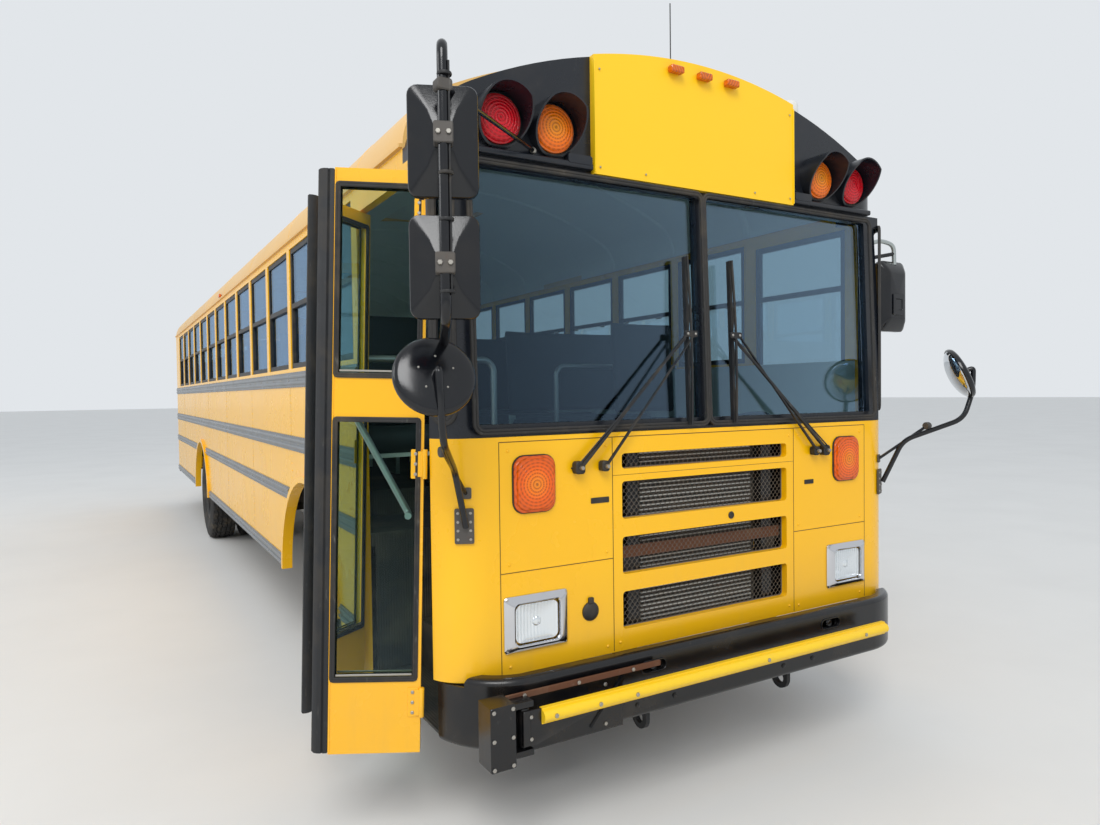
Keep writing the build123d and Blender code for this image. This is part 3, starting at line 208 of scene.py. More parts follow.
def circleOf(radius, sides=10):
    # radius times the cosine and sine of equal turns
    angle = np.linspace(0, 2 * math.pi, sides, endpoint=False)
    return radius * np.stack([np.cos(angle), np.sin(angle)], -1)


def tubeOf(corners, radius, bend=0.04, sides=12):
    # round tube along a polyline with eased corners
    return alongPath(circleOf(radius, sides), roundedPath(corners, bend))


def facing(normals):
    # two axes square to each normal
    normals = normals / np.linalg.norm(normals, axis=1)[:, None]
    guide = np.where(np.abs(normals[:, 2:]) < 0.9, (0.0, 0.0, 1.0), (1.0, 0.0, 0.0))
    a = np.cross(guide, normals)
    a /= np.linalg.norm(a, axis=1)[:, None]
    return a, np.cross(normals, a), normals


def heads(places, normals, radius, rise, sides=6, domed=True):
    # many fastener heads: a low dome or a chamfered prism at each place, out along its normal
    places = np.atleast_2d(np.asarray(places, float))
    normals = np.broadcast_to(np.asarray(normals, float), places.shape)
    top = ((0.8, 0.6), (0.45, 0.93)) if domed else ((1.0, 0.75), (0.8, 1.0))
    rows = np.array([(0, -0.4), (1, -0.4), (1, 0.1), *top, (0, 1.0)]) * (radius, rise)
    angle = np.linspace(0, 2 * math.pi, sides, endpoint=False)
    local = np.stack([rows[:, :1] * np.cos(angle), rows[:, :1] * np.sin(angle),
                      np.repeat(rows[:, 1:], sides, 1)], -1)
    a, b, n = facing(normals)
    axes = np.stack([a, b, n], 1)
    points = np.einsum("rsk,pkx->prsx", local, axes) + places[:, None, None]
    quads = quadsOf(len(rows), sides)
    offsets = np.arange(len(places))[:, None, None] * len(rows) * sides
    return points.reshape(-1, 3), (quads[None] + offsets).reshape(-1, 4)


def prisms(places, normals, radius, rise):
    # hexagon heads
    return heads(places, normals, radius, rise, 6, False)


def meshOf(name, shape):
    # mesh of points and quads
    mesh = bpy.data.meshes.new(name)
    mesh.from_pydata(shape[0].tolist(), [], shape[1].tolist())
    return mesh


def weldedMesh(name, shape):
    # mesh whose doubled points are merged and whose faces look outwards
    mesh = meshOf(name, shape)
    work = bmesh.new()
    work.from_mesh(mesh)
    bmesh.ops.remove_doubles(work, verts=work.verts, dist=2e-6)
    bmesh.ops.recalc_face_normals(work, faces=work.faces)
    work.to_mesh(mesh)
    work.free()
    return mesh


def inScene(name, data):
    made = bpy.data.objects.new(name, data)
    bpy.context.collection.objects.link(made)
    return made


def addPiece(name, shapes, finish, body="body", stands=(), crease=35):
    # one piece of many shapes, that rides a body and stands for the nodes given
    mesh = weldedMesh(name, joined(shapes))
    mesh.shade_smooth()
    mesh.set_sharp_from_angle(angle=math.radians(crease))
    mesh.materials.append(finish)
    piece = inScene(name, mesh)
    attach(piece, body)
    if stands:
        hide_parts(*stands)
    return piece


# Finishes

def tone(red, green, blue):
    # colour written as seen on a screen, 0 to 255, turned to linear light
    shares = [value / 255 for value in (red, green, blue)]
    return (*[s / 12.92 if s <= 0.04045 else ((s + 0.055) / 1.055) ** 2.4 for s in shares], 1)


def filled(node, **sockets):
    # the node, with these values in its input sockets
    for socket, value in sockets.items():
        node.inputs[socket.replace("_", " ")].default_value = value
    return node


def mixedShaders(tree, share, first, second, output):
    # two shaders mixed by a share, as the surface of the output
    mixing = tree.nodes.new("ShaderNodeMixShader")
    for source, target in zip((share, first, second), mixing.inputs):
        tree.links.new(source, target)
    tree.links.new(mixing.outputs["Shader"], tree.nodes[output].inputs["Surface"])


class Finish:
    # a material and short ways to add the nodes that vary it

    def __init__(self, name, colour, roughness, **sockets):
        self.material = bpy.data.materials.new(name)
        self.material.use_nodes = True
        self.tree = self.material.node_tree
        self.colour = tone(*colour)
        self.shader = filled(self.tree.nodes["Principled BSDF"], Base_Color=self.colour, Roughness=roughness,
                             **sockets)
        self.place = self.node("ShaderNodeTexCoord").outputs["Object"]

    def node(self, kind, **settings):
        made = self.tree.nodes.new(kind)
        for key, value in settings.items():
            setattr(made, key, value)
        return made

    def scaled(self, factor, more=0.0):
        # the finish's own colour times a factor, and no brighter than full
        return tuple(min(1, c * factor + more) for c in self.colour[:3]) + (1,)

    def link(self, source, target):
        self.tree.links.new(source, target)

    def stretched(self, scale):
        mapping = filled(self.node("ShaderNodeMapping"), Scale=scale)
        self.link(self.place, mapping.inputs["Vector"])
        return mapping.outputs["Vector"]

    def noise(self, scale, detail=4, stretch=(1, 1, 1), rough=0.6):
        texture = filled(self.node("ShaderNodeTexNoise"), Scale=scale, Detail=detail, Roughness=rough)
        self.link(self.stretched(stretch), texture.inputs["Vector"])
        return texture.outputs["Fac"]

    def ranged(self, source, low, high, toLow=0.0, toHigh=1.0):
        # straight line from toLow to toHigh as the source goes from low to high
        ranging = filled(self.node("ShaderNodeMapRange"), From_Min=low, From_Max=high, To_Min=toLow,
                         To_Max=toHigh)
        self.link(source, ranging.inputs["Value"])
        return ranging.outputs["Result"]

    def math(self, operation, a, b):
        made = self.node("ShaderNodeMath", operation=operation)
        for socket, value in zip(made.inputs, (a, b)):
            if isinstance(value, (int, float)):
                socket.default_value = value
            else:
                self.link(value, socket)
        return made.outputs["Value"]

    def times(self, a, b):
        return self.math("MULTIPLY", a, b)

    def parts(self):
        # X, Y and Z of the place
        split = self.node("ShaderNodeSeparateXYZ")
        self.link(self.place, split.inputs["Vector"])
        return split.outputs

    def height(self, low, high, toLow, toHigh):
        return self.ranged(self.parts()["Z"], low, high, toLow, toHigh)

    def mix(self, share, colour):
        # colour laid over what the base already is, by a share from 0 to 1
        mixing = self.node("ShaderNodeMix", data_type="RGBA")
        base = self.shader.inputs["Base Color"]
        if base.is_linked:
            self.link(base.links[0].from_socket, mixing.inputs["A"])
        else:
            mixing.inputs["A"].default_value = base.default_value
        mixing.inputs["B"].default_value = colour
        self.link(share, mixing.inputs["Factor"])
        self.link(mixing.outputs["Result"], base)

    def patch(self, source, low, high, share, colour):
        # colour laid on up to a share, as the source goes from low to high
        self.mix(self.ranged(source, low, high, 0, share), colour)

    def roughness(self, source, low, high):
        self.link(self.ranged(source, 0, 1, low, high), self.shader.inputs["Roughness"])

    def bump(self, source, distance, strength=1.0):
        bumping = filled(self.node("ShaderNodeBump"), Strength=strength, Distance=distance)
        self.link(source, bumping.inputs["Height"])
        normal = self.shader.inputs["Normal"]
        if normal.is_linked:
            self.link(normal.links[0].from_socket, bumping.inputs["Normal"])
        self.link(bumping.outputs["Normal"], normal)


roadDust = tone(150, 132, 105)
rustTone = tone(104, 58, 32)
scuffTone = tone(190, 185, 175)


def paintFinish(name, colour, gloss=0.22, dust=0.55, fade=0.10, coat=0.6):
    # sprayed enamel: orange peel, a chalky patchiness, dust low down, and dirty runs
    made = Finish(name, colour, gloss, Coat_Weight=coat, Coat_Roughness=0.06)
    patches = made.noise(1.7, 5)
    made.patch(patches, 0.52, 0.80, fade * 4, made.scaled(1.18, 0.02))
    made.patch(made.noise(0.9, 3), 0.45, 0.75, fade * 4, made.scaled(0.86))
    runs = made.ranged(made.noise(9.0, 4, (1, 1, 0.12)), 0.55, 0.82, 0, 0.35)
    low = made.height(0.45, 1.35, 1.0, 0.0)
    made.mix(made.times(runs, made.times(low, dust)), roadDust)
    film = made.height(0.50, 0.95, dust * 0.55, 0.0)
    made.mix(made.times(film, made.noise(5.0, 6)), roadDust)
    made.roughness(patches, gloss * 0.8, gloss * 1.6)
    made.bump(made.noise(420, 2), 0.00006)
    made.bump(made.noise(2.2, 2), 0.0012, 0.6)
    return made.material


def darkFinish(name, colour, rough=0.35, dust=0.35, rust=0.0, grain=0.0002, metallic=0.0):
    # dark paint or plastic with settled dust, scuffs, and rust where asked
    made = Finish(name, colour, rough, Metallic=metallic)
    cloud = made.noise(6, 6)
    made.patch(cloud, 0.50, 0.85, dust, roadDust)
    made.patch(made.noise(60, 3, (1, 1, 0.3)), 0.64, 0.80, dust * 0.6, scuffTone)
    if rust:
        made.patch(made.noise(14, 8, rough=0.7), 0.60, 0.70, rust, rustTone)
    made.roughness(cloud, rough * 0.8, min(1, rough * 1.7))
    made.bump(made.noise(240, 4), grain)
    return made.material


def clearGlass(name, tint, gloss, paintedSkyTint=(0.9, 0.95, 1.0, 1)):
    # flat pane: what is behind shows by a tint, and the sky reflects off it more at a glance, in a painted
    # sky tint
    made = bpy.data.materials.new(name)
    made.use_nodes = True
    tree = made.node_tree
    tree.nodes.remove(tree.nodes["Principled BSDF"])
    through = filled(tree.nodes.new("ShaderNodeBsdfTransparent"), Color=tone(*tint))
    shine = filled(tree.nodes.new("ShaderNodeBsdfGlossy"), Roughness=0.01, Color=paintedSkyTint)
    glance = filled(tree.nodes.new("ShaderNodeLayerWeight"), Blend=gloss)
    mixedShaders(tree, glance.outputs["Facing"], through.outputs["BSDF"], shine.outputs["BSDF"],
                 "Material Output")
    return made


def lensFinish(name, colour, paintedGlow, middle, ringPitch=0.0125, spokeCount=24):
    # moulded lens: rings and spokes about its middle, a painted glow paler in the centre and painted shade
    # darker towards the rim
    made = Finish(name, colour, 0.20, Coat_Weight=0.3, Coat_Roughness=0.03, IOR=1.42)
    parts = made.parts()
    across = made.math("SUBTRACT", made.math("ABSOLUTE", parts["X"], 0), middle[0])
    up = made.math("SUBTRACT", parts["Z"], middle[1])
    reach = made.math("SQRT", made.math("ADD", made.times(across, across), made.times(up, up)), 0)
    rings = made.math("SINE", made.times(reach, 2 * math.pi / ringPitch), 0)
    spokes = made.math("SINE", made.times(made.math("ARCTAN2", up, across), spokeCount), 0)
    pattern = made.times(rings, made.math("ADD", made.times(spokes, 0.4), 0.7))
    rimShadeAndRingTone = made.scaled(0.42)
    # painted glow: the middle is mixed towards a paler colour, as if lit from behind
    made.mix(made.ranged(reach, 0.0, 0.060, 0.75, 0.0), tone(*paintedGlow))
    # painted shade: darker towards the rim; the same dark colour also marks the moulded rings
    made.patch(reach, 0.045, 0.100, 0.45, rimShadeAndRingTone)
    made.patch(pattern, -0.1, 0.8, 0.75, rimShadeAndRingTone)
    made.bump(pattern, 0.0012)
    return made.material


def ribbedFinish(name, colour, rough, pitch, dust=0.4, metallic=0.0):
    # moulded rubber or pressed sheet with fine ribs side by side; a wave of scale 0.314 has a pitch of 1 m
    made = Finish(name, colour, rough, Metallic=metallic)
    wave = made.node("ShaderNodeTexWave", wave_type="BANDS", bands_direction="X", wave_profile="SIN")
    filled(wave, Scale=0.314 / pitch)
    made.link(made.place, wave.inputs["Vector"])
    made.patch(made.noise(4, 6), 0.45, 0.8, dust, roadDust)
    made.bump(wave.outputs["Fac"], 0.0012)
    return made.material


busYellow = paintFinish("busYellow", (255, 190, 0), dust=0.35, fade=0.05, coat=0.15)
doorYellow = paintFinish("doorYellow", (255, 186, 0), dust=0.3, fade=0.05, coat=0.3)
armYellow = paintFinish("armYellow", (255, 208, 8), gloss=0.35, dust=0.25, coat=0.1)
signYellow = paintFinish("signYellow", (255, 202, 16), gloss=0.4, dust=0.1, fade=0.05, coat=0.1)
roofPaint = paintFinish("roofPaint", (232, 184, 104), gloss=0.4, dust=0.2, fade=0.16, coat=0.15)
capBlack = darkFinish("capBlack", (22, 26, 33), 0.23, 0.05)
bumperBlack = darkFinish("bumperBlack", (15, 15, 17), 0.20, 0.08, 0.10)
# rub rails: black rails given a grey that stands in for the sky they reflect, a painted reflection, with real
# dust and scuffs
railReflectionGrey = darkFinish("railReflectionGrey", (118, 122, 126), 0.24, 0.22, metallic=0.45)
sashBlack = darkFinish("sashBlack", (22, 23, 25), 0.40, 0.25)
frameBlack = darkFinish("frameBlack", (24, 24, 25), 0.55, 0.55, 0.4, 0.0006)
rustySteel = darkFinish("rustySteel", (96, 58, 36), 0.8, 0.35, 0.7, 0.0008)
castMetal = darkFinish("castMetal", (70, 68, 64), 0.6, 0.4, 0.5, 0.0009, 0.5)
alloyTank = darkFinish("alloyTank", (150, 150, 148), 0.4, 0.4, 0.1, 0.0003, 0.8)
mirrorPlastic = darkFinish("mirrorPlastic", (11, 13, 18), 0.13, 0.03)
clampMetal = darkFinish("clampMetal", (92, 88, 84), 0.5, 0.3, 0.2, 0.0005, 0.6)
cabPlastic = darkFinish("cabPlastic", (50, 52, 54), 0.6, 0.2, 0.0, 0.0001)
gasketRubber = darkFinish("gasketRubber", (38, 37, 36), 0.62, 0.30)
nosingRubber = darkFinish("nosingRubber", (34, 35, 37), 0.55, 0.16)
tyreRubber = darkFinish("tyreRubber", (36, 35, 34), 0.78, 0.45, 0.0, 0.0005)
wheelBlack = darkFinish("wheelBlack", (30, 29, 28), 0.5, 0.6, 0.35)
grilleSteel = darkFinish("grilleSteel", (96, 88, 78), 0.5, 0.3, 0.35)
boltZinc = darkFinish("boltZinc", (170, 166, 158), 0.35, 0.3, 0.25, 0.0002, 0.9)
brightChrome = darkFinish("brightChrome", (205, 205, 208), 0.10, 0.14, 0.0, 0.00005, 1.0)
grabSteel = darkFinish("grabSteel", (176, 182, 180), 0.30, 0.10, 0.0, 0.0001, 0.85)
whitePaint = paintFinish("whitePaint", (222, 220, 212), gloss=0.35, dust=0.2, coat=0.2)
stopRed = paintFinish("stopRed", (190, 22, 26), gloss=0.35, dust=0.1, coat=0.3)
mintPaint = paintFinish("mintPaint", (196, 208, 198), gloss=0.40, dust=0.3, coat=0.1)
vinylHide = darkFinish("vinylHide", (34, 44, 46), 0.48, 0.03, 0.0, 0.00001)
matRubber = ribbedFinish("matRubber", (52, 52, 50), 0.7, 0.012)
# blue reflection colours of the side and door glass: a painted sky reflection
sideGlass = clearGlass("sideGlass", (214, 226, 230), 0.17, (0.50, 0.68, 0.92, 1))
doorGlass = clearGlass("doorGlass", (226, 238, 234), 0.15, (0.6, 0.75, 0.92, 1))
headGlass = clearGlass("headGlass", (252, 253, 253), 0.2)
flutedBowl = ribbedFinish("flutedBowl", (240, 242, 244), 0.10, 0.014, 0.0, 0.85)
coolerMetal = darkFinish("coolerMetal", (205, 205, 200), 0.40, 0.15, 0.0, 0.0002, 0.4)
mirrorGlass = darkFinish("mirrorGlass", (210, 214, 218), 0.04, 0.05, 0.0, 0.00001, 1.0)
wiperBlack = darkFinish("wiperBlack", (26, 26, 27), 0.45, 0.25)
seamDark = darkFinish("seamDark", (96, 66, 14), 0.7, 0.2)
liningWhite = paintFinish("liningWhite", (226, 230, 222), gloss=0.4, dust=0.05, coat=0.1)
channelRubber = darkFinish("channelRubber", (44, 42, 40), 0.58, 0.22)
# the third colour of each lens is its painted glow
amberLens = lensFinish("amberLens", (255, 120, 0), (255, 170, 20), lampAt["amber"])
turnLens = lensFinish("turnLens", (255, 104, 0), (255, 158, 10), lampAt["turn"])
redLens = lensFinish("redLens", (210, 0, 22), (236, 6, 36), lampAt["red"])

nodeFinish = {
    busYellow: ("side_wall_left", "side_wall_right", "rear_wall", "front_panel", "emergency_door"),
    roofPaint: ("roof",),
    doorYellow: ("door_front_frame", "door_rear_frame"),
    signYellow: ("sign_panel",),
    armYellow: ("gate_arm",),
    capBlack: ("front_cap", "windshield_frame"),
    bumperBlack: ("front_bumper", "rear_bumper", "gate_bracket"),
    railReflectionGrey: ("rub_rails",),
    sashBlack: ("window_frames", "wipers", "stop_arm_base", "roof_fittings"),
    frameBlack: ("chassis_rails", "cross_members", "floor_sills", "front_axle", "rear_axle", "knuckle_left",
                 "knuckle_right", "tie_rod"),
    castMetal: ("engine",),
    alloyTank: ("tank_and_exhaust",),
    mirrorPlastic: ("mirrors",),
    cabPlastic: ("dashboard", "engine_cover", "steering_wheel"),
    nosingRubber: ("door_front_nosing", "door_rear_nosing"),
    tyreRubber: ("tyre_front_left", "tyre_front_right", "tyres_rear_left", "tyres_rear_right"),
    wheelBlack: ("rim_front_left", "rim_front_right", "rims_rear_left", "rims_rear_right"),
    grilleSteel: ("grille_screens",),
    brightChrome: ("headlamps",),
    grabSteel: ("cabin_rails",),
    whitePaint: ("roof_hatch_front", "roof_hatch_rear"),
    stopRed: ("stop_arm",),
    vinylHide: ("seat_pads",),
    mintPaint: ("seat_frames",),
    matRubber: ("floor", "entrance_steps"),
    sideGlass: ("body_glass", "emergency_door_glass"),
    doorGlass: ("door_front_glass", "door_rear_glass"),
    amberLens: ("amber_lamps",),
    redLens: ("red_lamps",),
}
for finish, nodes in nodeFinish.items():
    for node in nodes:
        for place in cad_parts[node].material_slots:
            place.material = finish
print("finishes laid on")


# Places and turns that many pieces share

def spot(x, station, z):
    return np.array((x, at(station), z), float)


def spots(rows):
    # rows of X, station and Z as points
    return np.asarray(rows, float) + (0, frontY, 0)


def glassStation(z):
    # station of the raked windshield face at a height
    return 0.025 + 0.035 * (z - 1.48)


def ringOf(origin, axes, halfA, halfB, radius, section, steps=5):
    # section carried round a rounded rectangle, its first axis outwards from the face
    path = placed(lifted(roundedOutline(halfA, halfB, radius, steps), 0), origin, axes)
    return alongPath(section, path, closed=True, lookOut=axes[2])


def bandSection(width, rise, groove=0.002):
    # rubber channel seen end on: two soft lips with a locking strip between them
    share = np.array([(-0.3, -0.5), (0.75, -0.48), (1.0, -0.30), (1.0, -0.10), (1.0, 0.0), (1.0, 0.10),
                      (1.0, 0.30), (0.75, 0.48), (-0.3, 0.5)])
    section = share * (rise, width)
    section[4, 0] -= groove
    section[[3, 5], 0] -= groove * 0.2
    return section


# Grille: woven screens, with the cooler and its fins behind

grille = {
    "halfWide": 0.462,
    "slots": [(0.696, 0.860), (0.912, 1.076), (1.130, 1.294), (1.328, 1.404)],
    "openings": [(0.703, 0.852), (0.920, 1.068), (1.138, 1.286), (1.335, 1.396)],
    "pitch": 0.0122,
    "wire": 0.0009,
    "station": 0.036,
    "finPitch": 0.0180,
    "finStation": 0.086,
}


def wovenScreen(low, high, setup):
    # six-sided mesh: each wire runs straight, steps over to its neighbour, runs straight and steps back
    pitch, wire = setup["pitch"], setup["wire"]
    rise = pitch * 0.56
    count = int(2 * setup["halfWide"] / pitch)
    steps = int((high - low) / rise) + 1
    number = np.arange(steps)
    sway = np.array((1.0, 1.0, -1.0, -1.0))[number % 4] * (pitch / 2 - wire * 0.9)
    hand = np.where(np.arange(count) % 2, -1.0, 1.0)
    x = (np.arange(count) - (count - 1) / 2) * pitch
    across = x[:, None] + hand[:, None] * sway[None, :]
    z = low + number * rise
    section = np.array([(-1, -1), (1, -1), (1, 1), (-1, 1)]) * wire
    points = np.zeros((count, steps, 4, 3))
    points[..., 0] = across[..., None] + section[:, 0]
    points[..., 1] = at(setup["station"]) + section[:, 1]
    points[..., 2] = z[None, :, None]
    quads = quadsOf(steps, 4)[None] + (np.arange(count) * steps * 4)[:, None, None]
    return points.reshape(-1, 3), quads.reshape(-1, 4)


screens = [wovenScreen(low, high, grille) for low, high in grille["slots"]]
slotEdge = bandSection(0.010, 0.003, 0.0)
for low, high in grille["openings"]:
    middle = spot(0, 0.0335, (low + high) / 2)
    screens.append(ringOf(middle, toFront, 0.457, (high - low) / 2 + 0.002, 0.016, slotEdge))
addPiece("grilleScreens", screens, grilleSteel, stands=("grille_screens",))

fins = [slab(spot(0, grille["finStation"], z), toFront, 0.310, 0.0024, 0.008, 0.0015, 0.0005, 1)
        for z in np.arange(0.665, 1.390, grille["finPitch"])]
addPiece("coolerFins", fins, coolerMetal)
addPiece("grilleBar", [slab(spot(0, 0.0425, 0.997), toFront, 0.449, 0.024, 0.0008, 0.002, 0.0002)],
         rustySteel)
coolerEnds = []
for x, station, axes, *size in ((0.372, 0.093, toFront, 0.030, 0.372, 0.05, 0.006, 0.003),
                                (0.442, 0.120, toFront, 0.046, 0.372, 0.004, 0.003, 0.001),
                                (0.472, 0.038, toRear, 0.002, 0.372, 0.085, 0.001, 0.0005)):
    coolerEnds += bothSides([slab(spot(x, station, 1.025), axes, *size)])
coolerEnds.append(slab(spot(0, 0.108, 1.025), toFront, 0.340, 0.368, 0.010, 0.003, 0.001))
addPiece("coolerTanks", coolerEnds, bumperBlack)
print("grille done")


# Lamps

lampRows = {
    "radius": 0.089,
    "bodyRise": 0.020,
    "domeRise": 0.016,
    "bezelRadius": 0.101,
}


def domedLens(x, station, z, axes, size, setup):
    # body wall, a step, then a dome: radius against distance out
    r = setup["radius"] * size
    wall, rise = setup["bodyRise"] * size, setup["domeRise"] * size
    turn = np.radians(np.linspace(0, 90, 27))
    ripple = 0.0011 * size * (np.arange(27) % 2)
    dome = np.stack([(r - 0.006) * np.cos(turn), wall + 0.002 + rise * np.sin(turn) - ripple], -1)
    profile = np.concatenate([[(0, -0.004), (r, -0.004), (r, wall - 0.003), (r - 0.003, wall),
                               (r - 0.006, wall)], dome])
    return lathed(profile, spot(x, station, z), axes, 48)


def lampBezel(x, station, z, axes, size, setup):
    # ring round the lens: flange, rounded lip, inner wall
    r = setup["bezelRadius"] * size
    inner = setup["radius"] * size + 0.001
    profile = [(r, -0.004), (r, 0.004), (r - 0.002, 0.008), (r - 0.006, 0.010), (inner, 0.009),
               (inner, -0.004)]
    points, _ = lathed(profile, spot(x, station, z), axes, 48)
    return points, quadsOf(len(profile), 48, wrapRows=True)


# each place: X, station, Z, the way it faces, and its size against the warning lamps
redX, amberX = lampAt["red"][0], lampAt["amber"][0]
redPlaces = [(side * redX, capStation, lampAt["red"][1], toFront, 1.0) for side in (-1, 1)]
amberPlaces = [(side * amberX, capStation, lampAt["amber"][1], toFront, 1.0) for side in (-1, 1)]
for side in (-1, 1):
    redPlaces += [(side * x, rearStation, z, toRear, size)
                  for x, z, size in ((redX, rearHigh, 1.0), (0.990, 1.500, 1.0), (0.780, 1.180, 0.56))]
    amberPlaces += [(side * x, rearStation, z, toRear, 1.0) for x, z in ((amberX, rearHigh), (0.990, 1.270))]
redShapes = [domedLens(*place, lampRows) for place in redPlaces]
amberShapes = [domedLens(*place, lampRows) for place in amberPlaces]
bezels = [lampBezel(*place, lampRows) for place in redPlaces + amberPlaces]

turnRows = [(0.083, 0.100, 0.040, 0.000), (0.0855, 0.1025, 0.042, 0.003), (0.0855, 0.1025, 0.042, 0.010),
            (0.079, 0.096, 0.037, 0.0135), (0.076, 0.093, 0.035, 0.0135), (0.074, 0.091, 0.034, 0.020)]
for step in range(1, 21):
    # rings moulded in the lens: each is a shallow ridge on a flat dome
    shrink = 1 - step / 21
    out = 0.0212 + 0.0042 * (1 - shrink) + 0.0011 * (step % 2)
    turnRows.append((0.074 * shrink, 0.091 * shrink, 0.034 + 0.038 * shrink * (1 - shrink), out))
turnShapes = []
for side in (-1, 1):
    middle = spot(side * lampAt["turn"][0], -0.001, lampAt["turn"][1])
    turnShapes.append(stacked(turnRows, middle, toFront, 9))
    bezels.append(ringOf(middle, toFront, 0.0865, 0.1035, 0.043, bandSection(0.006, 0.006, 0)))
    amberShapes.append(slab(spot(side * 1.220, 5.345, 2.586), toLeft if side > 0 else toRight,
                            0.035, 0.016, 0.022, 0.012, 0.004))
for x in (-0.152, 0, 0.152):
    amberShapes.append(slab(spot(x, capStation - 0.030, 2.945), toFront, 0.034, 0.014, 0.030, 0.007, 0.004))
    redShapes.append(slab(spot(x, rearStation, 2.846), toRear, 0.032, 0.016, 0.023, 0.007, 0.004))
addPiece("redLenses", redShapes, redLens, stands=("red_lamps",))
addPiece("amberLenses", amberShapes, amberLens, stands=("amber_lamps",))
addPiece("turnLenses", turnShapes, turnLens)
addPiece("lampBezels", bezels, gasketRubber)

headlamp = {
    "x": 0.848,
    "z": 0.802,
    "bezel": (0.133, 0.1025),
    "lens": (0.090, 0.071),
}


def headlampBezel(x, setup):
    # chrome frame: outer flange, sloping face, rolled inner lip that falls back round the lens
    wide, high = setup["bezel"]
    a, b = setup["lens"]
    rows = [(wide, high, 0.012, -0.001), (wide, high, 0.014, 0.006),
            (wide - 0.003, high - 0.003, 0.014, 0.010),
            (wide - 0.010, high - 0.008, 0.016, 0.015), (a + 0.016, b + 0.014, 0.022, 0.022),
            (a + 0.010, b + 0.009, 0.024, 0.024), (a + 0.005, b + 0.005, 0.024, 0.021),
            (a + 0.002, b + 0.002, 0.024, 0.008),
            (a + 0.002, b + 0.002, 0.024, -0.001)]
    return surface(placed(ringsOf(rows, 6), spot(x, 0, setup["z"]), toFront), wrapRows=True)


def headlampLens(x, setup):
    # clear cover that bulges forwards in the middle
    a, b = setup["lens"]
    shares = np.array([1, 0.96, 0.85, 0.65, 0.4, 0.15])
    rows = [(a * s, b * s, 0.024 * s, 0.010 + 0.010 * (1 - s ** 2)) for s in shares]
    rows.insert(0, (a, b, 0.024, 0.0))
    return stacked(rows, spot(x, 0, setup["z"]), toFront, 6)


def headlampBowl(x, setup):
    # silvered bowl: shallow paraboloid open to the front, with the bulb's cap in the middle
    a, b = setup["lens"]
    inwards = np.linspace(1, 0.08, 10)
    rows = [(a * s * 0.98, b * s * 0.98, 0.024 * s, 0.0030 + 0.0065 * s ** 2 + back)
            for shares, back in ((inwards, 0), (inwards[::-1], -0.002)) for s in shares]
    bowl = surface(placed(ringsOf(rows, 6), spot(x, 0, setup["z"]), toFront), wrapRows=True)
    cap = lathed([(0, 0.001), (0.016, 0.001), (0.018, 0.004), (0.015, 0.007), (0.008, 0.0085), (0, 0.009)],
                 spot(x, 0, setup["z"]), toFront, 20)
    return [bowl, cap]


def screwPlaces(x, station, z, halfA, halfB):
    # four corners about a lamp on each side
    return spots([(side * x + a * halfA, station, z + b * halfB) for side in (-1, 1) for a in (-1, 1)
                  for b in (-1, 1)])


headXs = (-headlamp["x"], headlamp["x"])
addPiece("headlampBezels", [headlampBezel(x, headlamp) for x in headXs], brightChrome,
         stands=("headlamps",))
addPiece("headlampLenses", [headlampLens(x, headlamp) for x in headXs], headGlass)
addPiece("headlampBowls", [shape for x in headXs for shape in headlampBowl(x, headlamp)], flutedBowl)
bezelScrews = screwPlaces(headlamp["x"], -0.011, headlamp["z"], 0.121, 0.092)
turnScrews = screwPlaces(lampAt["turn"][0], -0.0125, lampAt["turn"][1], 0.0775, 0.060)
addPiece("lampScrews", [heads(bezelScrews, forwards, 0.0055, 0.003, 8),
                        heads(turnScrews, forwards, 0.004, 0.002, 8)], boltZinc)
print("lamps done")


# Windshield: rubber channels, bright only where they are worn

windshield = {
    "low": 1.500,
    "high": 2.462,
    "halfPane": 0.5355,
    "middle": 0.5405,
    "corner": 0.032,
    "band": 0.021,
    "rise": 0.009,
}

rakedAxes = np.array([(1, 0, 0), (0, 0.03498, 0.99939), (0, -0.99939, 0.03498)])
middleZ = (windshield["low"] + windshield["high"]) / 2
halfHigh = (windshield["high"] - windshield["low"]) / 2
frameFace = glassStation(middleZ) - 0.025
channels = []
for side in (-1, 1):
    centre = spot(side * windshield["middle"], frameFace + 0.002, middleZ)
    channels.append(ringOf(centre, rakedAxes, windshield["halfPane"], halfHigh, windshield["corner"],
                           bandSection(windshield["band"], windshield["rise"], 0.003), 7))


def cornerChannel(side, first, last, low, high):
    # rounded rectangle of angle and height laid on the round corner, and its section carried along it
    radius = cornerRadius + 0.002
    halfArc = math.radians(last - first) / 2 * radius
    outline = roundedOutline(halfArc, (high - low) / 2, 0.035, 5)
    along = np.linspace(0, 1, 9)[:-1, None]
    ends = np.roll(outline, -1, 0)
    outline = (outline[:, None] * (1 - along) + ends[:, None] * along).reshape(-1, 2)
    keep = np.linalg.norm(outline - np.roll(outline, 1, 0), axis=1) > 1e-5
    outline = outline[keep]
    angle = math.radians((first + last) / 2) + outline[:, 0] / radius
    z = (low + high) / 2 + outline[:, 1]
    path = np.stack([side * (cornerX + radius * np.cos(angle)), at(cornerRadius) - radius * np.sin(angle), z],
                    -1)
    out = np.stack([side * np.cos(angle), -np.sin(angle), np.zeros_like(angle)], -1)
    return alongPath(bandSection(0.030, 0.010, 0.0025), path, closed=True, lookOut=out)


channels.append(cornerChannel(1, 15, 50, 1.540, 2.440))
channels.append(cornerChannel(-1, 32, 54, 1.540, 2.440))
addPiece("windshieldChannels", channels, channelRubber)
print("windshield done")


# Entrance door: pieces drawn on the closed leaf and then turned to where the leaf stands open

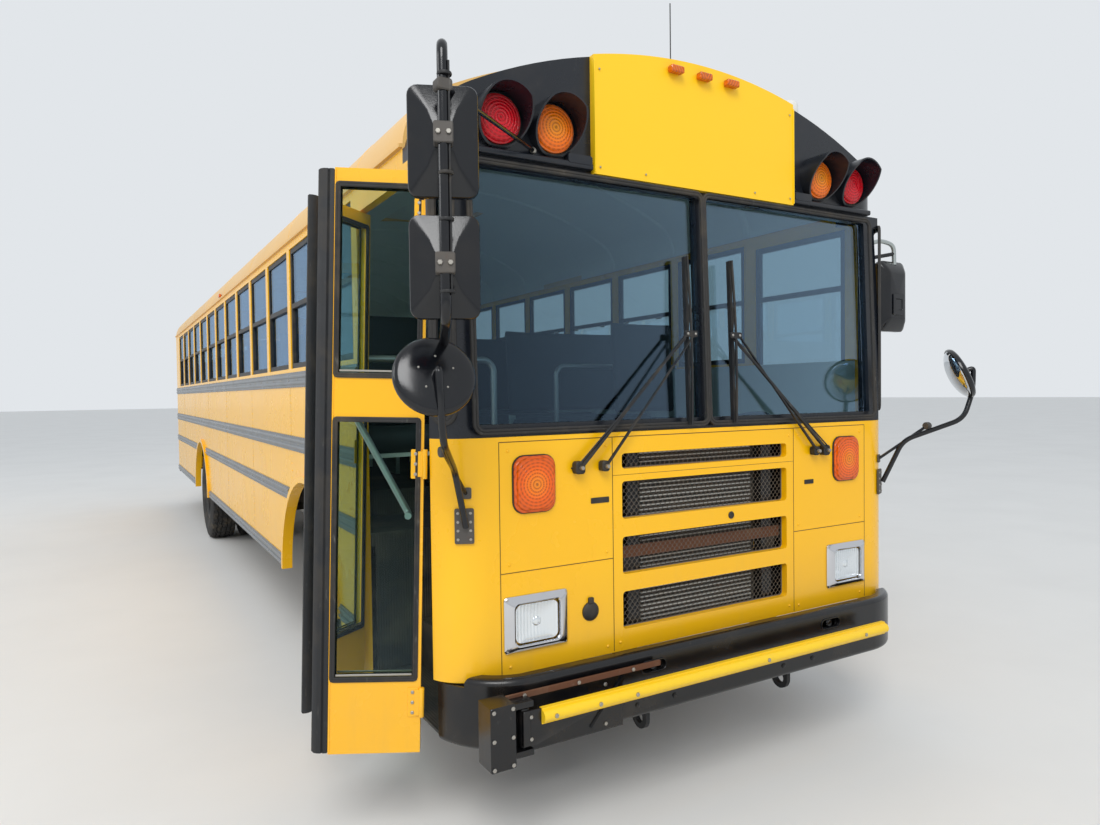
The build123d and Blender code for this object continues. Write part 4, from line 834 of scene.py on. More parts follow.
doorPlan = {
    "hingeX": -1.222,
    "hingeZ": 1.400,
    "lean": 1.9,
    "leaves": {
        "door_front": {"station": 0.120, "turn": 65, "hand": 1},
        "door_rear": {"station": 0.902, "turn": -53, "hand": -1},
    },
    "panes": [(0.628, 1.545), (1.700, 2.368)],
    "paneMiddle": 0.1685,
    "paneHalf": 0.1445,
    "hingeHeights": (0.545, 1.390, 2.275),
    "outerFace": -1.216,
    "innerFace": -1.182,
}


def turnAbout(axis, degrees):
    # rotation matrix about the axis of that letter
    return np.array(Matrix.Rotation(math.radians(degrees), 3, axis))


def onLeaf(shapes, leaf):
    # mirror for the rear leaf, then turn about the leaning hinge line
    plan = doorPlan
    turned = turnAbout("Y", plan["lean"]) @ turnAbout("Z", leaf["turn"])
    moved = []
    for points, quads in shapes:
        local = (points - (plan["hingeX"], 0, plan["hingeZ"])) * (1, leaf["hand"], 1)
        world = local @ turned.T + (plan["hingeX"], at(leaf["station"]), plan["hingeZ"])
        moved.append((world, quads))
    return moved


def extruded(outline, origin, axes, low, high, ease=0.0):
    # outline in the first two axes carried along the third, its ends closed on their middles
    outline = np.asarray(outline, float)
    middle = outline.mean(0)
    rows = [(0, low), (1 - ease, low), (1, low + ease * 0.03), (1, high - ease * 0.03), (1 - ease, high),
            (0, high)]
    rings = [lifted(middle + (outline - middle) * share, out) for share, out in rows]
    return surface(placed(rings, origin, axes))


def doorChannels(plan):
    # rubber round each pane on both faces, and a bright strip along its foot inside
    shapes, strips = [], []
    along, half = plan["paneMiddle"], plan["paneHalf"]
    for low, high in plan["panes"]:
        for face, axes in ((plan["outerFace"], toRight), (plan["innerFace"], toLeft)):
            shapes.append(ringOf((face, along, (low + high) / 2), axes, half, (high - low) / 2, 0.004,
                                 bandSection(0.019, 0.006, 0.0012), 2))
            strips.append(slab((face, along, low + 0.016), axes, half - 0.012, 0.0035, 0.004, 0.002, 0.001,
                               2))
    return shapes, strips


nosingOutline = [(-1.181, 0.326), (-1.180, 0.340), (-1.185, 0.345), (-1.180, 0.350), (-1.181, 0.364),
                 (-1.188, 0.377), (-1.199, 0.3845), (-1.210, 0.377), (-1.217, 0.364), (-1.218, 0.350),
                 (-1.213, 0.345), (-1.218, 0.340), (-1.217, 0.326)]


def doorHardware(plan, leafName):
    # hinge plates with their screws, edge angle, and the rear leaf's latch or the front leaf's grab rail
    metal, bolts, inner = [], [], []
    outerX, innerX = plan["outerFace"], plan["innerFace"]
    for z in plan["hingeHeights"]:
        metal.append(slab((outerX, 0.030, z), toRight, 0.019, 0.052, 0.004, 0.004, 0.0012))
        knuckle = [(0, 0.052), (0.0085, 0.052), (0.0095, 0.050)]
        metal.append(barrel(knuckle, (plan["hingeX"], 0, z), toTop, 16))
        bolts += [(outerX - 0.004, 0.032, z + step) for step in (-0.036, 0, 0.036)]
    if leafName == "door_rear":
        metal.append(slab((innerX, 0.319, 1.395), toLeft, 0.005, 1.024, 0.005, 0.002, 0.001))
        inner.append(slab((innerX, 0.285, 1.622), toLeft, 0.030, 0.046, 0.012, 0.008, 0.003))
        inner.append(tubeOf([(innerX + reach, 0.285, z) for reach, z in (
            (0.01, 1.660), (0.045, 1.650), (0.045, 1.594), (0.01, 1.584))], 0.006, 0.012, 10))
    else:
        metal.append(slab((outerX, 0.3215, 1.395), toRight, 0.0025, 1.024, 0.003, 0.001, 0.0005))
        inner.append(tubeOf([(innerX + reach, y, z) for reach, y, z in (
            (0, 0.300, 1.630), (0.048, 0.300, 1.630), (0.048, 0.060, 1.200), (0, 0.060, 1.200))], 0.0125,
            0.03, 14))
    return metal, inner, prisms(bolts, (-1, 0, 0), 0.0065, 0.0035)


for leafName, leaf in doorPlan["leaves"].items():
    channelShapes, footStrips = doorChannels(doorPlan)
    metal, inner, bolts = doorHardware(doorPlan, leafName)
    nosing = extruded(nosingOutline, (0, 0, 0), toTop, 0.369, 2.421, 0.1)
    for piece, shapes, finish, slotName, stands in (
            ("Channels", channelShapes, gasketRubber, "rubber", ()),
            ("Strips", footStrips, boltZinc, "chrome", ()),
            ("Hinges", metal, doorYellow, "bus_yellow", ()),
            ("Bolts", [bolts], boltZinc, "chrome", ()),
            ("Edge", [nosing], nosingRubber, "rubber", (leafName + "_nosing",)),
            ("Fittings", inner, grabSteel, "rail_steel", ())):
        addPiece(leafName + piece, onLeaf(shapes, leaf), finish, leafName, stands)
print("doors done")


# Mirrors: hipped heads on a post, round bowls on bent arms, and the driver's head on its loop

mirrorPlan = {
    "x": 1.365,
    "station": -0.436,
    "turn": 22,
    "postReach": 0.058,
    "postFeet": [(40, 2.560, 0.050), (48, 1.740, 0.045)],  # angle round the corner, Z and half height
    "heads": [(2.342, 0.156), (1.992, 0.145)],
    "headHalf": 0.099,
    "bowl": (1.334, -0.262, 1.688),
    "bowlRadius": 0.124,
}


def onCorner(angle, out, z, side=1):
    # point on the rounded front corner, at an angle from straight ahead
    turn = math.radians(angle)
    reach = cornerRadius + out
    return spot(side * (cornerX + reach * math.sin(turn)), cornerRadius - reach * math.cos(turn), z)


def headShell(half, high):
    # rim, side wall, then four hips that rise to a small flat in the middle
    return [(half - 0.012, high - 0.012, 0.022, -0.0375), (half - 0.002, high - 0.002, 0.029, -0.0355),
            (half, high, 0.030, -0.031), (half, high, 0.030, -0.012),
            (half - 0.002, high - 0.002, 0.029, -0.008),
            (half - 0.007, high - 0.007, 0.025, -0.006), (0.045, high * 0.52, 0.010, 0.018),
            (0.029, high * 0.26, 0.006, 0.031), (0.024, high * 0.20, 0.004, 0.0325)]


headShells, glasses, clamps, clampHeads, tubes = [], [], [], [], []
turn = math.radians(mirrorPlan["turn"])
backward = np.array((-math.sin(turn), -math.cos(turn), 0))  # the way the heads' backs look
backAxes = np.array([(math.cos(turn), -math.sin(turn), 0), (0, 0, 1), backward])
glassAxes = backAxes * np.array([[-1], [1], [-1]])
headMiddle = spot(-mirrorPlan["x"], mirrorPlan["station"], 0)
x, post = (headMiddle + mirrorPlan["postReach"] * backward)[:2] - (0, frontY)
for z, high in mirrorPlan["heads"]:
    centre = headMiddle + (0, 0, z)
    headShells.append(stacked(headShell(mirrorPlan["headHalf"], high), centre, backAxes, 5))
    glasses.append(slab(centre - 0.0355 * backward, glassAxes, 0.086, high - 0.014, 0.003, 0.018, 0.001))
    clamps.append(slab(centre + 0.026 * backward, backAxes, 0.027, 0.029, 0.050, 0.006, 0.003))
    for a in (-0.014, 0.014):
        clampHeads.append(prisms(centre + 0.076 * backward + a * backAxes[0], backward, 0.0075, 0.006))
topFoot, lowFoot = (onCorner(angle, 0.004, z, -1) for angle, z, _ in mirrorPlan["postFeet"])
tubes.append(tubeOf([topFoot, spot(x, post, 2.600), spot(x, post, 1.840), lowFoot], 0.015, 0.06, 18))
cable = [spot(x + 0.0125, post - 0.0130, z) for z in (2.535, 2.43, 2.28, 2.12, 1.97, 1.905)]
ties = [lathed([(0, -0.004), (0.020, -0.004), (0.021, 0), (0.020, 0.004), (0, 0.004)],
               spot(x + 0.004, post - 0.004, z), toTop, 18) for z in (2.500, 2.235, 2.110, 1.915)]
cableShape = tubeOf(cable, 0.0035, 0.03, 8)
strutStart, strutEnd = spot(x, post, 2.470), spot(-0.805, 0.050, 2.532)
share = np.linspace(0, 1, 12)[:, None]
strutPath = strutStart * (1 - share) + strutEnd * share
strut = alongPath(circleOf(0.0075, 10), strutPath)
clamps.append(slab(spot(x, post + 0.018, 2.470), toFront, 0.022, 0.016, 0.038, 0.008, 0.003))
feet, clampBolts = [], []
for angle, z, tall in mirrorPlan["postFeet"]:
    turn = math.radians(angle)
    axes = np.array([(-math.cos(turn), math.sin(turn), 0), (0, 0, 1), (-math.sin(turn), -math.cos(turn), 0)])
    feet.append(slab(onCorner(angle, 0.001, z, -1), axes, 0.030, tall, 0.006, 0.008, 0.002))
    feet.append(slab(onCorner(angle, 0.004, z, -1), axes, 0.018, 0.020, 0.022, 0.008, 0.003))
    for step in (-0.035, 0.035):
        clampBolts.append(onCorner(angle, 0.008, z + step, -1))


def bowlShapes(centre, axis, setup):
    # shallow bowl: black back, rolled rim, and a convex glass on the side that the axis points to
    axis = np.asarray(axis, float) / np.linalg.norm(axis)
    a, b, n = (row[0] for row in facing(axis[None]))
    axes = np.array([a, b, n])
    r = setup["bowlRadius"]
    turn = np.radians(np.linspace(0, 90, 8))
    backProfile = np.stack([r * np.sin(turn), -0.016 - 0.020 * np.cos(turn)], -1)
    back = lathed([*backProfile, (r + 0.003, -0.010), (r + 0.003, 0.000), (r - 0.001, 0.004),
                   (r - 0.006, 0.002), (0, 0.002)], centre, axes, 44)
    glassProfile = np.stack([(r - 0.006) * np.sin(turn), 0.002 + 0.040 * np.cos(turn) ** 1.2], -1)
    glass = lathed([*glassProfile, (0, 0.002)], centre, axes, 44)
    ringTurn = np.radians(np.arange(5) * 72 + 20)
    rivets = centre + (0.055 * np.cos(ringTurn)[:, None] * a
                       + 0.055 * np.sin(ringTurn)[:, None] * b) - n * 0.0335
    bolt = prisms(centre - n * 0.036, -n, 0.010, 0.008)
    return back, glass, [heads(rivets, -n, 0.004, 0.003, 8), bolt]


bowls, armBolts = [], []
bowlX, bowlStation, bowlZ = mirrorPlan["bowl"]
plateAngle, plateZ = 26, 1.175  # foot plate of the bowl's arm on the corner
braceAngle, braceZ = 24, 1.290
turn = math.radians(plateAngle)
for side, axis, lift in ((-1, (0.15, 0.90, -0.36), 0), (1, (-0.62, 0.66, -0.42), 0.012)):
    centre = spot(side * bowlX, bowlStation, bowlZ + lift)
    back, glass, small = bowlShapes(centre, axis, mirrorPlan)
    bowls.append(back)
    glasses.append(glass)
    armBolts += small
    plate = onCorner(plateAngle, 0.010, plateZ, side)
    away = -np.asarray(axis) / np.linalg.norm(axis)
    tubes.append(tubeOf([centre + 0.034 * away, centre + 0.072 * away,
                         centre + 0.072 * away - (0.004 * side, 0, 0.110),
                         spot(side * (bowlX - 0.012), bowlStation - 0.035, bowlZ - 0.200),
                         spot(side * 1.190, -0.070, 1.380), plate + (0, -0.014, 0)], 0.0115, 0.05, 14))
    braceTop = spot(side * 1.262, -0.150, 1.452)
    tubes.append(tubeOf([braceTop, onCorner(braceAngle, 0.006, braceZ, side)], 0.007, 0.01, 10))
    clamps.append(barrel([(0, 0.014), (0.016, 0.014), (0.018, 0.010)], braceTop, toLeft, 16))
    axes = np.array([(math.cos(turn), side * math.sin(turn), 0), (0, 0, 1),
                     (side * math.sin(turn), -math.cos(turn), 0)])
    feet.append(slab(onCorner(plateAngle, 0.001, plateZ, side), axes, 0.034, 0.062, 0.010, 0.006, 0.002))
    feet.append(slab(onCorner(braceAngle, 0.001, braceZ, side), axes, 0.020, 0.020, 0.008, 0.006, 0.002))
    for a in (-0.022, 0.022):
        for b in (-0.046, -0.015, 0.015, 0.046):
            place = onCorner(plateAngle, 0.011, plateZ + b, side) + a * axes[0]
            armBolts.append(prisms(place, axes[2], 0.0055, 0.0035))

dx, ds, dz = 1.392, 0.131, 2.118  # X, station and Z of the driver's head
driverRows = [(0.088, 0.170, 0.020, -0.038), (0.097, 0.181, 0.026, -0.036), (0.099, 0.183, 0.028, -0.030),
              (0.099, 0.183, 0.028, -0.006), (0.095, 0.178, 0.026, 0.000), (0.074, 0.140, 0.018, 0.024),
              (0.060, 0.120, 0.012, 0.032), (0.056, 0.114, 0.010, 0.033)]
headShells.append(stacked(driverRows, spot(dx, ds, dz), toFront, 6))
headShells.append(stacked([(0.050, 0.060, 0.008, 0.028), (0.046, 0.054, 0.008, 0.040),
                           (0.030, 0.030, 0.006, 0.041),
                        (0.026, 0.026, 0.005, 0.036)], spot(dx, ds, dz - 0.045), toFront, 4))
glasses.append(slab(spot(dx, ds + 0.0365, dz), toRear, 0.088, 0.171, 0.003, 0.020, 0.001))
silverLoop = [tubeOf([spot(1.222, 0.176, 2.378), spot(1.320, 0.150, 2.408), spot(dx + 0.010, ds, 2.388),
                      spot(dx + 0.014, ds, 2.285)], 0.011, 0.034, 14)]
tubes.append(tubeOf([spot(1.224, 0.176, 2.308), spot(dx + 0.012, ds, 2.342)], 0.010, 0.01, 12))
for z in (2.308, 2.378):
    clamps.append(slab(spot(1.221, 0.176, z), toLeft, 0.022, 0.024, 0.012, 0.008, 0.003))
addPiece("mirrorHeads", headShells + bowls, mirrorPlastic, stands=("mirrors",))
addPiece("mirrorGlasses", glasses, mirrorGlass)
addPiece("mirrorTubes", tubes + [strut], mirrorPlastic)
addPiece("mirrorLoop", silverLoop, grabSteel)
addPiece("mirrorClamps", clamps + feet, clampMetal)
addPiece("mirrorCable", [cableShape] + ties, wiperBlack)
footBolts = [prisms(clampBolts, forwards, 0.0065, 0.005), heads(strutEnd, (0, -1, 0.2), 0.014, 0.010, 8)]
addPiece("mirrorBolts", footBolts + clampHeads + armBolts, boltZinc)
print("mirrors done")


# Wipers: two arms to each blade, so that it stays upright

wiperPlan = {
    "pairs": [(-0.666, -0.551, -0.118), (0.686, 0.620, 0.128)],  # X of each pair's two pivots and its blade
    "claws": [(1.50, 1.66), (1.70, 1.86), (1.88, 2.02), (2.04, 2.19)],
    "pivotZ": 1.355,
    "tipZ": 1.870,
    "bladeZ": (1.500, 2.190),
    "clear": 0.058,
}


def bladeStation(z):
    # glass face at a height, less the blade's clearance
    return glassStation(z) - wiperPlan["clear"]


def flatBar(start, end, wide, thick):
    # bar of rectangular section that narrows towards its tip
    share = np.linspace(0, 1, 14)[:, None, None]
    start, end = np.asarray(start), np.asarray(end)
    run = (end - start) / np.linalg.norm(end - start)
    across = np.cross(run, forwards)
    across /= np.linalg.norm(across)
    out = np.cross(across, run)
    corners = np.array([(-1, -1), (-0.7, 1), (0.7, 1), (1, -1)])[None]
    size = (wide * (1 - 0.45 * share), thick)
    along = start * (1 - share) + end * share
    rings = along + corners[..., :1] * size[0] * across + corners[..., 1:] * size[1] * out
    rings = np.concatenate([np.repeat(rings[:1].mean(1, keepdims=True), 4, 1), rings,
                            np.repeat(rings[-1:].mean(1, keepdims=True), 4, 1)])
    return surface(rings)


arms, rubbers, pivots, hoses = [], [], [], []
for mainX, secondX, bladeX in wiperPlan["pairs"]:
    tip = wiperPlan["tipZ"]
    station = float(bladeStation(tip))
    for pivotX, wide, offset in ((mainX, 0.0090, -0.020), (secondX, 0.0055, 0.020)):
        start = spot(pivotX, -0.034, wiperPlan["pivotZ"])
        arms.append(flatBar(start, spot(bladeX + offset, station - 0.004, tip), wide, 0.0045))
        arms.append(slab(spot(pivotX, -0.002, wiperPlan["pivotZ"]), toFront, wide + 0.012, wide + 0.015,
                         0.034, 0.012, 0.004))
        pivots.append(prisms(spot(pivotX, -0.040, wiperPlan["pivotZ"]), forwards, 0.009, 0.012))
    arms.append(slab(spot(bladeX, station + 0.004, tip), toFront, 0.032, 0.013, 0.014, 0.006, 0.002))
    pivots.append(heads([spot(bladeX + a, station - 0.010, tip) for a in (-0.020, 0.020)], forwards, 0.006,
                        0.004, 8))
    low, high = wiperPlan["bladeZ"]
    z = np.linspace(low, high, 30)
    spine = np.stack([np.full(30, bladeX), at(bladeStation(z)) + 0.006, z], -1)
    bow = 0.012 * np.sin(np.linspace(0, math.pi, 30))
    spineOut = spine - np.stack([0 * bow, bow, 0 * bow], -1)
    arms.append(alongPath(np.array([(-0.003, -0.0045), (0.003, -0.0045), (0.003, 0.0045), (-0.003, 0.0045)]),
                          spineOut, lookOut=forwards))
    for low, high in wiperPlan["claws"]:
        z = np.linspace(low, high, 12)
        lift = 0.010 * np.sin(np.linspace(0, math.pi, 12))
        claw = np.stack([np.full(12, bladeX), at(bladeStation(z)) + 0.016 - lift, z], -1)
        arms.append(alongPath(circleOf(0.0035, 6), claw))
    rubber = np.array([(0.004, -0.006), (0.004, 0.006), (-0.006, 0.005), (-0.012, 0.0015), (-0.022, 0.0008),
                       (-0.022, -0.0008), (-0.012, -0.0015), (-0.006, -0.005)])
    rubbers.append(alongPath(rubber, spine + (0, 0.012, 0), lookOut=forwards))
    side = np.sign(mainX)
    hoses.append(tubeOf([spot(mainX + side * 0.022, -0.002, 1.352), spot(mainX + side * 0.016, -0.036, 1.362),
                         spot(bladeX - 0.020 + side * 0.009, station - 0.004, tip - 0.02)], 0.0032, 0.02, 8))
addPiece("wiperArms", arms, wiperBlack, stands=("wipers",))
addPiece("wiperBlades", rubbers + hoses, nosingRubber)
addPiece("wiperNuts", pivots, boltZinc)
print("wipers done")


# Front sheet metal: seams, bolts, the flap, the lock and small blank plates

frontRows = {
    "centreHalf": 0.500,
    "cornerSeam": 0.990,
    "shelf": 0.990,
    "bolts": [(0.470, 0.655), (0.470, 1.430), (0.530, 1.020), (0.955, 1.020), (0.530, 1.430), (0.955, 1.430),
              (0.530, 0.650), (0.955, 0.650)],
}


def seamLine(start, end, wide=0.0016, proud=0.0004, normal=forwards):
    # dark hairline laid on the sheet between two points
    start, end = np.asarray(start, float), np.asarray(end, float)
    section = np.array([(-0.001, -wide), (proud, -wide), (proud, wide), (-0.001, wide)])
    return alongPath(section, np.array([start, (start + end) / 2, end]), lookOut=normal)


half, corner, shelf = frontRows["centreHalf"], frontRows["cornerSeam"], frontRows["shelf"]
seams = []
for side in (-1, 1):
    seams.append(seamLine(spot(side * half, 0, 0.625), spot(side * half, 0, 1.462)))
    seams.append(seamLine(spot(side * corner, 0, 0.625), spot(side * corner, 0, 1.462)))
    seams.append(seamLine(spot(side * half, 0, shelf), spot(side * corner, 0, shelf)))
seams.append(seamLine(spot(-corner, 0, 1.462), spot(corner, 0, 1.462)))
seams.append(seamLine(spot(-half, 0, 1.312), spot(half, 0, 1.312), 0.0008))
addPiece("frontSeams", seams, seamDark)

frontBolts = [(side * x, 0, z) for x, z in frontRows["bolts"] for side in (-1, 1)]
signScrews = [(side * x, capStation - 0.031, z) for side in (-1, 1)
              for x, z in ((0.520, 2.505), (0.520, 2.880), (0.300, 2.505))]
addPiece("frontBolts", [heads(spots(frontBolts), forwards, 0.0065, 0.004, 6)], busYellow)
addPiece("signScrews", [heads(spots(signScrews), forwards, 0.0045, 0.0025, 8)], boltZinc)
flapProfile = [(0, -0.002), (0.036, -0.002), (0.037, 0.001), (0.036, 0.005), (0.031, 0.008), (0.026, 0.012),
               (0.012, 0.014), (0, 0.014)]
flap = [lathed(flapProfile, spot(-0.610, 0, 0.800), toFront, 36),
        slab(spot(-0.610, 0, 0.842), toFront, 0.011, 0.012, 0.012, 0.004, 0.002)]
addPiece("capFlap", flap, wiperBlack)
lockProfile = [(0, -0.001), (0.015, -0.001), (0.016, 0.002), (0.014, 0.005), (0.010, 0.006), (0.009, 0.003),
               (0, 0.003)]
addPiece("panelLock", [lathed(lockProfile, spot(0.117, 0, 1.102), toFront, 28)], wiperBlack)
plates = [slab(spot(-0.560, 0, 1.222), toFront, 0.042, 0.011, 0.003, 0.003, 0.001),
          slab(spot(0.600, 0, 1.212), toFront, 0.030, 0.010, 0.003, 0.003, 0.001)]
addPiece("blankPlates", plates, wiperBlack)
signEdge = [slab(spot(side * 0.5435, capStation - 0.016, 2.698), toFront, 0.0020, 0.214, 0.017, 0.001, 0.0005)
            for side in (-1, 1)]
addPiece("signEdges", signEdge, armYellow)
footProfile = [(0, -0.004), (0.022, -0.004), (0.022, 0.003), (0.012, 0.010), (0.008, 0.030), (0.004, 0.034),
               (0, 0.036)]
addPiece("antennaFoot", [lathed(footProfile, spot(0, 0.235, 2.998), toTop)], wiperBlack)
puckProfile = [(0, 0.066), (0.018, 0.065), (0.031, 0.058), (0.0405, 0.044), (0.0410, 0.000), (0.0408, -0.03)]
addPiece("cornerPuck", [lathed(puckProfile, spot(0.615, 0.120, 2.926), toTop, 36)], whitePaint)
print("front details done")


# Bumper and crossing gate: holes edged, box screws, plates, brace and bolts

gateMetal = [slab(spot(-1.095, -0.212, 0.507), toFront, 0.047, 0.107, 0.006, 0.008, 0.002),
             slab(spot(-0.805, -0.136, 0.498), toFront, 0.243, 0.094, 0.004, 0.004, 0.001),
             flatBar(spot(-0.700, -0.146, 0.420), spot(-0.560, -0.146, 0.585), 0.014, 0.004)]
gateRust = [slab(spot(-0.720, -0.139, 0.604), toFront, 0.330, 0.010, 0.010, 0.003, 0.001)]
gateBolts = [(x, -0.2175, z) for x in (-1.130, -1.060) for z in (0.412, 0.505, 0.600)]
gateBolts += [(x, -0.140, z) for x in (-0.960, -0.640) for z in (0.425, 0.570)]
gateBolts += [(x, -0.150, 0.604) for x in (-0.980, -0.760, -0.520)]
addPiece("gatePlates", gateMetal, bumperBlack)
addPiece("gateBar", gateRust, rustySteel)
addPiece("gateScrews", [prisms(spots(gateBolts), forwards, 0.0075, 0.005)], boltZinc)
share = np.linspace(-math.pi / 2, math.pi / 2, 15)
channelRound = np.stack([0.021 * np.cos(share) + 0.004, 0.021 * np.sin(share)], -1)
channelBack = [(0.004, 0.027), (-0.014, 0.027), (-0.014, 0.022), (-0.004, 0.022), (-0.004, -0.022),
               (-0.014, -0.022), (-0.014, -0.027), (0.004, -0.027)]
channelSection = np.concatenate([channelRound, channelBack])
channelPath = np.stack([np.linspace(-0.945, 0.858, 12), np.full(12, at(-0.205)), np.full(12, 0.545)], -1)
addPiece("gateArmBar", [alongPath(channelSection, channelPath, lookOut=forwards)], armYellow,
         "gate_arm", stands=("gate_arm",))
webOutline = [(-1.000, 0.452), (-0.960, 0.452), (-0.680, 0.528), (-0.680, 0.562), (-1.000, 0.572)]
armWeb = [extruded(webOutline, spot(0, -0.200, 0), toFront, -0.004, 0.004, 0.02),
          slab(spot(-1.000, -0.176, 0.512), toFront, 0.014, 0.060, 0.030, 0.004, 0.002),
          barrel([(0, 0.065), (0.019, 0.065), (0.020, 0.062)], spot(-1.000, -0.176, 0.512), toTop, 24)]
addPiece("gateArmWeb", armWeb, bumperBlack, "gate_arm")
armBoltPlaces = [(x, -0.2300, 0.545) for x in (-0.900, -0.720, -0.560, 0.10, 0.70)]
armShapes = [prisms(spots(armBoltPlaces), forwards, 0.008, 0.005),
             prisms(spots([(-0.985, -0.204, z) for z in (0.475, 0.550)]), forwards, 0.007, 0.005)]
addPiece("gateArmBolts", armShapes, boltZinc, "gate_arm")
bumperFace, holeXs, holeZ = -0.120, (-0.400, 0.600), 0.585
holeEdge = bandSection(0.006, 0.004, 0)
holeRings = [ringOf(spot(x, bumperFace, holeZ), toFront, 0.060, 0.022, 0.0219, holeEdge, 8) for x in holeXs]
bumperBolts = [(side * x, bumperFace, z) for side in (-1, 1) for x in (0.300, 0.480) for z in (0.450, 0.500)]
for x in holeXs:
    holeRings.append(slab(spot(x, -0.104, holeZ), toFront, 0.085, 0.034, 0.003, 0.008, 0.001))
    holeRings.append(lathed([(0, 0), (0.017, 0), (0.019, 0.004), (0.014, 0.008), (0.009, 0.006), (0, 0.006)],
                            spot(x, -0.107, holeZ), toFront, 20))
addPiece("bumperHoles", holeRings, bumperBlack)
addPiece("bumperBolts", [heads(spots(bumperBolts), forwards, 0.011, 0.008, 6)], bumperBlack)
print("bumper done")


# Side sheets: joints, rivet rows on the rails and over the windows, and bolts along the rails

sidePlan = {
    "railLows": [(1.688, 0.088), (1.310, 0.088), (1.000, 0.076), (0.544, 0.076)],
    "wallX": 1.220,
    "seamStations": [firstPillar + windowPitch * number for number in range(0, windowCount + 1, 2)],
    "rivetPitch": 0.058,
    "boltPitch": 0.232,
    "overWindows": 2.528,
    "arches": [(frontAxle, 0.656), (rearAxle, 0.626)],
    "doorEnd": 0.925,
}


def clearOfArches(places, plan, margin=0.04):
    # places of station and height that no wheel arch takes away
    keep = np.ones(len(places), bool)
    for station, radius in plan["arches"]:
        keep &= np.hypot(places[:, 0] - station, places[:, 1] - wheelHeight) > radius + margin
    return places[keep]


def placesOf(stations, heights):
    # pairs of station and height, either of which may be one number for all
    return np.stack(np.broadcast_arrays(stations, heights), -1)


def wallSpots(places, side, out=0.0):
    # places of station and height as points on a side wall
    return np.stack([np.full(len(places), side * (sidePlan["wallX"] + out)), at(places[:, 0]), places[:, 1]],
                    -1)


for side, first, name in ((1, 0.20, "Left"), (-1, sidePlan["doorEnd"], "Right")):
    stations = np.arange(first + 0.03, sideEnd, sidePlan["rivetPitch"])
    rows = [placesOf(stations, low + depth * share) for low, depth in sidePlan["railLows"]
            for share in (0.03, 0.97)]
    onRail = clearOfArches(np.concatenate(rows), sidePlan)
    wide = np.arange(first + 0.05, sideEnd, sidePlan["boltPitch"])
    middles = [placesOf(wide, low + depth / 2) for low, depth in sidePlan["railLows"]]
    middles = clearOfArches(np.concatenate(middles), sidePlan)
    over = placesOf(stations, sidePlan["overWindows"])
    seamStations = [station for station in sidePlan["seamStations"] if station >= first]
    uprights = [placesOf(station + shift, np.arange(low, high, 0.045)) for station in seamStations
                for low, high in ((0.640, 0.985), (1.095, 1.295), (1.415, 1.670))
                for shift in (-0.012, 0.012)]
    uprights = clearOfArches(np.concatenate(uprights), sidePlan, 0.06)

    outward = (side, 0, 0)
    # rivets on the rails share the rails' grey, a painted sky reflection
    addPiece("railRivets" + name, [heads(wallSpots(onRail, side, 0.006), outward, 0.0045, 0.0022, 6)],
             railReflectionGrey)
    addPiece("railBolts" + name, [heads(wallSpots(middles, side, 0.006), outward, 0.0065, 0.0040, 6)],
             boltZinc)
    small = wallSpots(np.concatenate([uprights, over]), side)
    addPiece("wallRivets" + name, [heads(small, outward, 0.0042, 0.0020, 6)], busYellow)
    joints = []
    for station in seamStations:
        for low, high in ((0.625, 1.000), (1.076, 1.310), (1.398, 1.688)):
            if min(abs(station - arch[0]) for arch in sidePlan["arches"]) > 0.75 or low > 1.2:
                foot, top = wallSpots(np.array([(station, low), (station, high)]), side)
                joints.append(seamLine(foot, top, 0.0008, 0.0003, outward))
    addPiece("wallSeams" + name, joints, seamDark)
print("side details done")


# Tyres: tread blocks, grooves and sidewall rings as a radius that changes round and across

tyrePlan = {
    "radius": wheelHeight,
    "frontX": 1.005,
    "rearXs": (1.050, 0.720),
    "around": 216,
}


